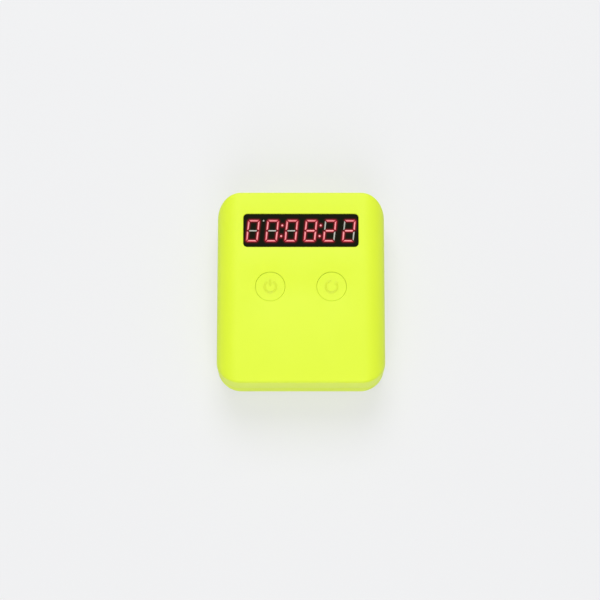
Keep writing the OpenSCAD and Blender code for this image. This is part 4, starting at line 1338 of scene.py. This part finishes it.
@dataclass
class Display:
    """The light display: a black face, lit and unlit bars, and colon dots."""

    x_half: float = 23.85
    y_half: float = 6.95
    corner: float = 1.55
    middle_y: float = 23.9
    face: float = 24.6
    low: float = 18.6
    digit_y: float = 23.75
    pitch: float = 8.0
    digit_w: float = 5.0
    digit_h: float = 9.4
    bar: float = 0.76
    gap: float = 0.36
    waist: float = 0.64
    cut: float = 0.5
    lean_deg: float = 6.0
    dot_r: float = 0.42
    dot_rise: float = 2.28
    dot_reach: float = 0.2
    tick_r: float = 0.35
    tick_rise: float = 4.3
    bar_depth: float = 0.8
    proud: float = 0.02
    reading: tuple[int, ...] = (0, 0, 0, 8, 2, 2)
    # Width of the painted glow on the face beside the lit bars.
    painted_glow_mm: float = 0.42
    core_in: float = 0.34
    unlit_in: float = 0.09
    bar_edge: float = 0.05
    dot_edge: float = 0.04
    face_points: tuple[int, int] = (301, 91)

    # Which bars are lit for each digit of the reading, in the order of bar_shapes.
    LIT = {0: "1111110", 2: "1101101", 8: "1111111"}

    @property
    def lean(self) -> float:
        """How far a digit leans to the right for each millimetre of its height."""
        return math.tan(math.radians(self.lean_deg))

    def bar_shapes(self) -> Array:
        """Draw the seven bars of a digit about its middle.

        The digit is a rectangle with cut outer corners. Its bars meet along slanting lines, a gap
        apart, the middle bar is pointed at both ends, and the side bars stop short of it.

        Returns:
            The corners of each bar: top, right, bottom, left, middle.
        """
        w, h, t, g = self.digit_w / 2, self.digit_h / 2, self.bar, self.gap
        low = self.waist / 2
        shift = g / 2 / math.sqrt(2)
        cx, cy = w - self.cut / 2, h - self.cut / 2
        half_top = np.array([[w - self.cut, h], [cx - shift, cy + shift],
                             [cx - shift - (cy + shift - h + t), h - t]])
        top = np.concatenate([half_top, half_top[::-1] * (-1, 1)])
        side = np.array([[w, h - self.cut], [cx + shift, cy - shift],
                         [w - t, cy - shift - (cx + shift - w + t)], [w - t, low + t / 2],
                         [w - t / 2, low], [w, low]])
        tip = w - t / 2 - g / math.sqrt(2)
        half_middle = np.array([[tip - t / 2, t / 2], [tip, 0], [tip - t / 2, -t / 2]])
        middle = np.concatenate([half_middle, half_middle[::-1] * (-1, 1)])
        shapes = np.stack([top, side, side * (1, -1), top * (1, -1), side * (-1, -1),
                           side * (-1, 1), middle])
        ahead = np.roll(shapes, -1, axis=1)
        area = np.sum(shapes[..., 0] * ahead[..., 1] - shapes[..., 1] * ahead[..., 0], axis=1)
        shapes[area < 0] = shapes[area < 0][:, ::-1]
        return shapes

    def leaned(self, shapes: Array) -> Array:
        """Lean shapes to the right by their height, and put them at the digits' line."""
        moved = shapes + np.stack([shapes[..., 1] * self.lean, 0 * shapes[..., 1]], -1)
        return moved + (0.0, self.digit_y)

    def bars(self, lit: bool) -> Array:
        """Put the bars of the reading in place.

        Args:
            lit: whether the lit bars are wanted, or the unlit ones.

        Returns:
            The corners of each bar.
        """
        shapes = self.bar_shapes()
        places = [(i, k) for i, digit in enumerate(self.reading)
                  for k, on in enumerate(self.LIT[digit]) if (on == "1") == lit]
        index, kind = np.array(places).T
        across = (index - (len(self.reading) - 1) / 2) * self.pitch
        return self.leaned(shapes[kind]) + np.stack([across, 0.0 * index], -1)[:, None]

    def dots(self) -> Array:
        """Return the middles of the colon dots."""
        return np.array([[x + y * self.lean, self.digit_y + y] for x in (-self.pitch, self.pitch)
                         for y in (-self.dot_rise, self.dot_rise)])

    def tick(self) -> Array:
        """Return the middle of the small unlit tick."""
        rise = self.tick_rise
        return np.array([[-2 * self.pitch + rise * self.lean, self.digit_y + rise]])

    def add_dots(self, surface: Surface, middles: Array, radius: float, core: float) -> None:
        """Add round blocks at the given places."""
        ring = radius * direction(whole_turn(24))
        add_blocks(surface, middles[:, None] + ring[None], self.face - self.bar_depth,
                   self.face + self.proud, self.dot_edge, core)

    def away_from_lit(self, places: Array) -> Array:
        """Measure how far places lie outside the nearest lit bar or dot, below nought inside it.

        The distance from a bar is the largest of the distances out from its sides. A dot shines
        more strongly than a bar, so it counts as larger than it is by its reach.

        Args:
            places: rows of x and y.

        Returns:
            A distance for each place.
        """
        from_dots = np.hypot(*(places[:, None] - self.dots()[None]).transpose(2, 0, 1)).min(1)
        nearest = from_dots - self.dot_r - self.dot_reach
        for shape in self.bars(True):
            along = unit(np.roll(shape, -1, axis=0) - shape)
            outward = np.stack([along[:, 1], -along[:, 0]], -1)
            from_corners = places[:, None] - shape[None]
            away = np.max(np.einsum("vkc,kc->vk", from_corners, outward), axis=1)
            nearest = np.minimum(nearest, away)
        return nearest

    def painted_glow_at(self, places: Array) -> Array:
        """Return how much painted glow from the lit bars lies at places on the face.

        It is one beside a bar and fades by the square of the distance from the nearest one.
        """
        return np.exp(-((np.clip(self.away_from_lit(places), 0, None) / self.painted_glow_mm) ** 2))

    def core_at(self, places: Array) -> Array:
        """Return how bright the lit bars are at places: nought at the rim and one in the middle."""
        return np.clip(-self.away_from_lit(places) / self.core_in, 0, 1)

    def face_mesh(self) -> Mesh:
        """Build the black body: a fine grid on top, whose rows narrow in the round corners.

        Returns:
            Its closed mesh.
        """
        columns, rows = self.face_points
        u = np.linspace(-1, 1, columns)[None]
        v = np.linspace(-1, 1, rows)[:, None]
        y = v * self.y_half
        past = np.clip(np.abs(y) - (self.y_half - self.corner), 0, self.corner)
        half = self.x_half - self.corner + np.sqrt(self.corner**2 - past**2)
        top = np.stack([u * half, self.middle_y + y + 0 * u, self.face + 0 * u * y], -1)
        body = Surface()
        body.grid(top, wrap=False)
        border = np.concatenate([top[0, :-1], top[:-1, -1], top[-1, :0:-1], top[:0:-1, 0]])
        foot = border * (1, 1, 0) + (0, 0, self.low)
        body.grid([foot, border])
        body.lid(foot, Facing.DOWN)
        return body.mesh("display_housing")

    def build(self) -> None:
        """Make the face and its bars and dress them."""
        housing = piece("display_face", self.face_mesh(), DISPLAY_FACE,
                        "display_housing")
        # Painted glow: emission on the face beside the lit bars, standing in for their light
        # spilling onto it.
        keep_share(housing, "glow", self.painted_glow_at(points_of(housing.data)[:, :2]))
        lit, unlit = Surface(), Surface()
        low, high = self.face - self.bar_depth, self.face + self.proud
        add_blocks(lit, self.bars(True), low, high, self.bar_edge, self.core_in)
        self.add_dots(lit, self.dots(), self.dot_r, self.core_in)
        add_blocks(unlit, set_in(self.bars(False), self.unlit_in), low, high, self.bar_edge)
        self.add_dots(unlit, self.tick(), self.tick_r, 0.0)
        bright = piece("display_lit", lit.mesh("display_lit_bars"), LIT_EPOXY,
                       "display_lit_bars")
        keep_share(bright, "core", self.core_at(points_of(bright.data)[:, :2]))
        piece("display_unlit", unlit.mesh("display_unlit_bars"), UNLIT_EPOXY,
              "display_unlit_bars")


# ---- Small parts ----


@dataclass
class Feet:
    """Four rubber feet with rounded rims."""

    case: Case
    radius: float = 3.5
    thick: float = 1.2
    edge: float = 0.3

    def build(self) -> None:
        """Make the feet as one piece and dress them."""
        feet = Surface()
        r, e = self.radius, self.edge
        profile = [(0, 0), *bent_edge((r - e, e), e, -90), (r, self.thick), (0, self.thick)]
        for x, y in self.case.corners:
            feet.grid(turned(profile, x, y))
        piece("feet", feet.mesh("rubber_feet"), FOOT_RUBBER, "rubber_feet")


@dataclass
class SnapDome:
    """The sprung dome under a switch's plunger, which flattens as the button goes down."""

    side: Side
    x: float = 12.7
    low: float = 19.1
    height: float = 0.52
    radius: float = 1.9
    sheet: float = 0.12
    flat_height: float = 0.22

    def profile(self) -> list[tuple[float, float]]:
        """Draw the section: the square of the radius taken from the crown, a sheet thick.

        Returns:
            Pairs of radius and height.
        """
        share = np.linspace(0, 1, 17)
        over = self.low + self.sheet + (self.height - self.sheet) * (1 - share**2)
        outside = np.column_stack([share * self.radius, over])
        within = outside * (1 - self.sheet / self.radius, 1) - (0, self.sheet)
        return [*map(tuple, within), (self.radius, self.low), *map(tuple, outside[::-1])]

    def build(self) -> None:
        """Make the dome and dress it, on a mesh of its own."""
        made, x, node = Surface(), self.side.value * self.x, f"{self.side.word}_switch_dome"
        made.grid(turned(self.profile(), x))
        dome = piece(f"{node}_sheet", made.mesh(node), NICKEL_STEEL, node)
        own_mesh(dome)


@dataclass
class Coil:
    """A wound spring with flat ends; ease says how much its rise is slowed at both."""

    low_d: float
    high_d: float
    height: float
    wire_d: float
    turns: float
    ease: float = 0.35

    def rings(self, steps_per_turn: int = 28) -> Array:
        """Wind a wire along +Z from the origin.

        The path turns evenly, its radius runs from one end's to the other's, and its height eases
        in and out, so that both ends lie flat.

        Args:
            steps_per_turn: points in each turn.

        Returns:
            The wire's rings.
        """
        s = np.linspace(0, 1, int(self.turns * steps_per_turn) + 1)
        angle = 2 * math.pi * self.turns * s
        radius = ((1 - s) * self.low_d + s * self.high_d - self.wire_d) / 2
        eased = s * s * (3 - 2 * s)
        share = (1 - self.ease) * s + self.ease * eased
        height = self.wire_d / 2 + (self.height - self.wire_d) * share
        path = np.stack([radius * np.cos(angle), radius * np.sin(angle), height], -1)
        upright = np.broadcast_to([0.0, 0.0, 1.0], path.shape)
        return wire(path, self.wire_d / 2, upright, sides=10)


@dataclass
class TouchSpring:
    """The spring that joins a touch plate to the main board."""

    side: Side
    x: float = 14.5
    y: float = -20.5
    low: float = 17.63
    coil: Coil = field(default_factory=lambda: Coil(5.0, 5.0, 5.24, 0.5, 5))

    def build(self) -> None:
        """Make the spring and dress it."""
        made, node = Surface(), f"{self.side.word}_touch_spring"
        made.grid(self.coil.rings() + (self.side.value * self.x, self.y, self.low))
        piece(f"{node}_wire", made.mesh(node), NICKEL_STEEL, node)


class End(Enum):
    """The front or the back end of the battery bay, as the sign of its y."""

    FRONT = -1
    BACK = 1


@dataclass
class Batteries:
    """Three cells side by side, their springs and the two leads."""

    case: Case
    z: float = 7.75
    pitch: float = 11.1
    radius: float = 5.25
    length: float = 44.5
    nub_r: float = 1.9
    nub_l: float = 1.0
    # How far a cell's shoulder is set in from its side, and from its end.
    shoulder: tuple[tuple[float, float], ...] = ((0.45, 0.02), (0.12, 0.14), (0.0, 0.45))
    contact: float = 0.3
    dimple: float = 0.4
    spring_gap: float = 0.03
    spring: Coil = field(default_factory=lambda: Coil(7.0, 4.4, 3.94, 0.6, 3))
    lead_r: float = 0.5
    lead_z: float = 15.1
    board_z: float = 16.4

    def nub_end(self, index: int) -> End:
        """Return where a cell's nub lies: at the back for the outer two."""
        return End.BACK if index % 2 == 0 else End.FRONT

    def wall(self, end: End) -> float:
        """Return the y of the bay's wall at an end."""
        front, back = self.case.bay_y
        return back if end is End.BACK else front

    def toward(self, points: Array, end: End, index: int, start: float) -> Array:
        """Turn what is built along +Z to run along Y from one end of the bay to the other.

        Args:
            points: points about the Z axis.
            end: the end at which it starts.
            index: the cell whose axis it takes.
            start: the y at which it starts.

        Returns:
            The points in place.
        """
        px, py, pz = np.moveaxis(points, -1, 0)
        x = (index - 1) * self.pitch
        return np.stack([x + px, start - end.value * pz, self.z + end.value * py], -1)

    def cell_profile(self) -> list[tuple[float, float]]:
        """Draw a cell's profile.

        The nub's rim is cut back by 0.2 mm and its foot flares by 0.5 mm, and the base is dished by
        0.15 mm inside a rim.

        Returns:
            Pairs of radius and height, from the tip of the nub to the base.
        """
        r, n, length, nub_r = self.radius, self.nub_l, self.length, self.nub_r
        near = [(r - a, n + b) for a, b in self.shoulder]
        far = [(r - a, length - b) for a, b in self.shoulder[::-1]]
        return [(0, 0), (nub_r - 0.2, 0), (nub_r, 0.2), (nub_r, n - 0.05), (nub_r + 0.5, n),
                (r - 0.9, n), *near, *far, (r - 0.8, length), (r - 1.1, length - 0.15),
                (0, length - 0.15)]

    def build_cell(self, index: int, node: str) -> None:
        """Make one cell, from the tip of its nub.

        Args:
            index: the cell's place from the left.
            node: the CAD node it stands for.
        """
        made, end = Surface(), self.nub_end(index)
        tip = self.wall(end) - end.value * (self.contact + self.dimple)
        made.grid(self.toward(turned(self.cell_profile(), steps=72), end, index, tip))
        jacket = PrintedJacket(f"printed_cell_jacket_{end.name.lower()}", "27418F", "27418F", 0.3,
                               1.5, wander_mm=3.0, grain_mm=0.2, grain_depth_mm=0.003, nub_y=tip,
                               base_y=tip - end.value * self.length)
        piece(f"{node}_jacket", made.mesh(node), jacket, node)

    def build_springs(self) -> None:
        """Make the three cell springs, each at the end away from its cell's nub."""
        made = Surface()
        for index in range(3):
            end = End(-self.nub_end(index).value)
            start = self.wall(end) - end.value * (self.contact + self.spring_gap)
            made.grid(self.toward(self.spring.rings(), end, index, start))
        piece("cell_spring_wire", made.mesh("cell_springs"), NICKEL_STEEL,
              "cell_springs")

    def build_lead(self, node: str, end: End, finish: Finish) -> None:
        """Make one lead: out from its tab, round a bend, and up to the main board.

        The route is given from the tab, as outwards, sideways and up, and its corners are cut
        twice at a quarter and three quarters of each stretch.

        Args:
            node: the CAD node it stands for.
            end: the end of the bay that it leaves.
            finish: its insulation.
        """
        rise = self.board_z - self.lead_z
        route = np.array([[0.05, 0, 0], [1, 0, 0], [2.1, -0.5, 0], [3, -1.5, 0], [3.5, -2.7, 0],
                          [3.7, -3.7, 0.1], [3.8, -4.3, 0.4], [3.8, -4.5, rise * 0.7],
                          [3.8, -4.5, rise - 0.03]], float)
        for _ in range(2):
            cut = np.stack([0.75 * route[:-1] + 0.25 * route[1:],
                            0.25 * route[:-1] + 0.75 * route[1:]], 1).reshape(-1, 3)
            route = np.concatenate([route[:1], cut, route[-1:]])
        out, aside, up = route.T
        sign = end.value
        path = np.stack([sign * self.pitch + sign * aside,
                         self.wall(end) - sign * (self.contact + out), self.lead_z + up], -1)
        reference = np.broadcast_to([0.7, sign * 0.7, 0.0], path.shape)
        made = Surface()
        made.grid(wire(path, self.lead_r, reference, sides=16))
        piece(f"{node}_wire", made.mesh(node), finish, node)

    def build(self) -> None:
        """Make the cells, springs and leads."""
        for index, node in enumerate(("left_cell", "middle_cell", "right_cell")):
            self.build_cell(index, node)
        self.build_springs()
        self.build_lead("negative_lead", End.FRONT, BLACK_PVC)
        self.build_lead("positive_lead", End.BACK, RED_PVC)


def dress_carried(nodes: dict[str, Object]) -> None:
    """Dress the CAD nodes that are shown as they are.

    Args:
        nodes: the frame's nodes by name.
    """
    for finish, names in CARRIED.items():
        for name in names:
            dress(nodes[name], finish)
            log.info("%s: carried over, %s", name, finish.name)


# ---- Studio ----


@dataclass(frozen=True)
class Lamp:
    """A square soft light at a place in millimetres."""

    name: str
    place: tuple[float, float, float]
    size: float
    watts: float


@dataclass
class Studio:
    """A pale floor, and a camera nearly overhead.

    The main light stands high behind the object, a weaker one in front of it, and an even sky
    fills the shade.
    """

    lamps: tuple[Lamp, ...] = (Lamp("key", (-60.0, 850.0, 1150.0), 900.0, 11.2),
                               Lamp("front", (0.0, -900.0, 800.0), 800.0, 5.4))
    sky: str = "FFFFFF"
    sky_strength: float = 0.43
    distance: float = 800.0
    tilt_deg: float = 11.78
    lens: float = 114.25
    aim: tuple[float, float, float] = (0.0, 0.0, 12.5)
    shift: tuple[float, float] = (-0.00155, -0.0124)
    floor_half: float = 900.0

    def camera(self) -> None:
        """Set the camera up at the photograph's angle."""
        lens = bpy.data.cameras.new("camera")
        lens.lens = self.lens
        lens.shift_x, lens.shift_y = self.shift
        lens.clip_start, lens.clip_end = 0.05, 20.0
        camera = placed("camera", lens)
        tilt = math.radians(self.tilt_deg)
        aim = Vector(self.aim) * MM
        back = Vector((0.0, -math.sin(tilt), math.cos(tilt)))
        camera.location = aim + back * self.distance * MM
        camera.rotation_mode = "QUATERNION"
        camera.rotation_quaternion = (-back).to_track_quat("-Z", "Y")
        bpy.context.scene.camera = camera

    def ground(self) -> None:
        """Lay the floor."""
        half, made = self.floor_half, Surface()
        ring = half * np.array([[-1.0, -1.0], [1.0, -1.0], [1.0, 1.0], [-1.0, 1.0]])
        made.lid(at_height(ring, 0.0), Facing.UP)
        floor = placed("floor", made.mesh("floor"))
        dress(floor, PAPER)

    def hang(self, lamp: Lamp) -> None:
        """Hang a lamp, aimed at the object.

        Args:
            lamp: what to hang.
        """
        light = bpy.data.lights.new(lamp.name, "AREA")
        light.energy, light.size, light.shape = lamp.watts, lamp.size * MM, "SQUARE"
        hung, place = placed(lamp.name, light), Vector(lamp.place)
        hung.location = place * MM
        hung.rotation_mode = "QUATERNION"
        hung.rotation_quaternion = (Vector(self.aim) - place).to_track_quat("-Z", "Y")

    def build(self) -> None:
        """Set the floor, the light, the colour handling and the camera."""
        self.ground()
        for lamp in self.lamps:
            self.hang(lamp)
        world = bpy.data.worlds.new("studio")
        world.use_nodes = True
        sky = world.node_tree.nodes["Background"]
        sky.inputs["Color"].default_value = linear(self.sky)
        sky.inputs["Strength"].default_value = self.sky_strength
        bpy.context.scene.world = world
        bpy.context.scene.view_settings.view_transform = "Standard"
        self.camera()


def main() -> None:
    """Build every sub-assembly in order, dress the rest and set the studio up."""
    logging.basicConfig(level=logging.INFO, format="%(message)s")
    case = Case()
    case.build()
    Door(case).build()
    ButtonCap(Side.LEFT, Sign.POWER).build()
    ButtonCap(Side.RIGHT, Sign.RESTART).build()
    Display().build()
    Feet(case).build()
    for side in Side:
        SnapDome(side).build()
        TouchSpring(side).build()
    Batteries(case).build()
    dress_carried(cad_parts)
    Studio().build()


if __name__ == "__main__":
    main()
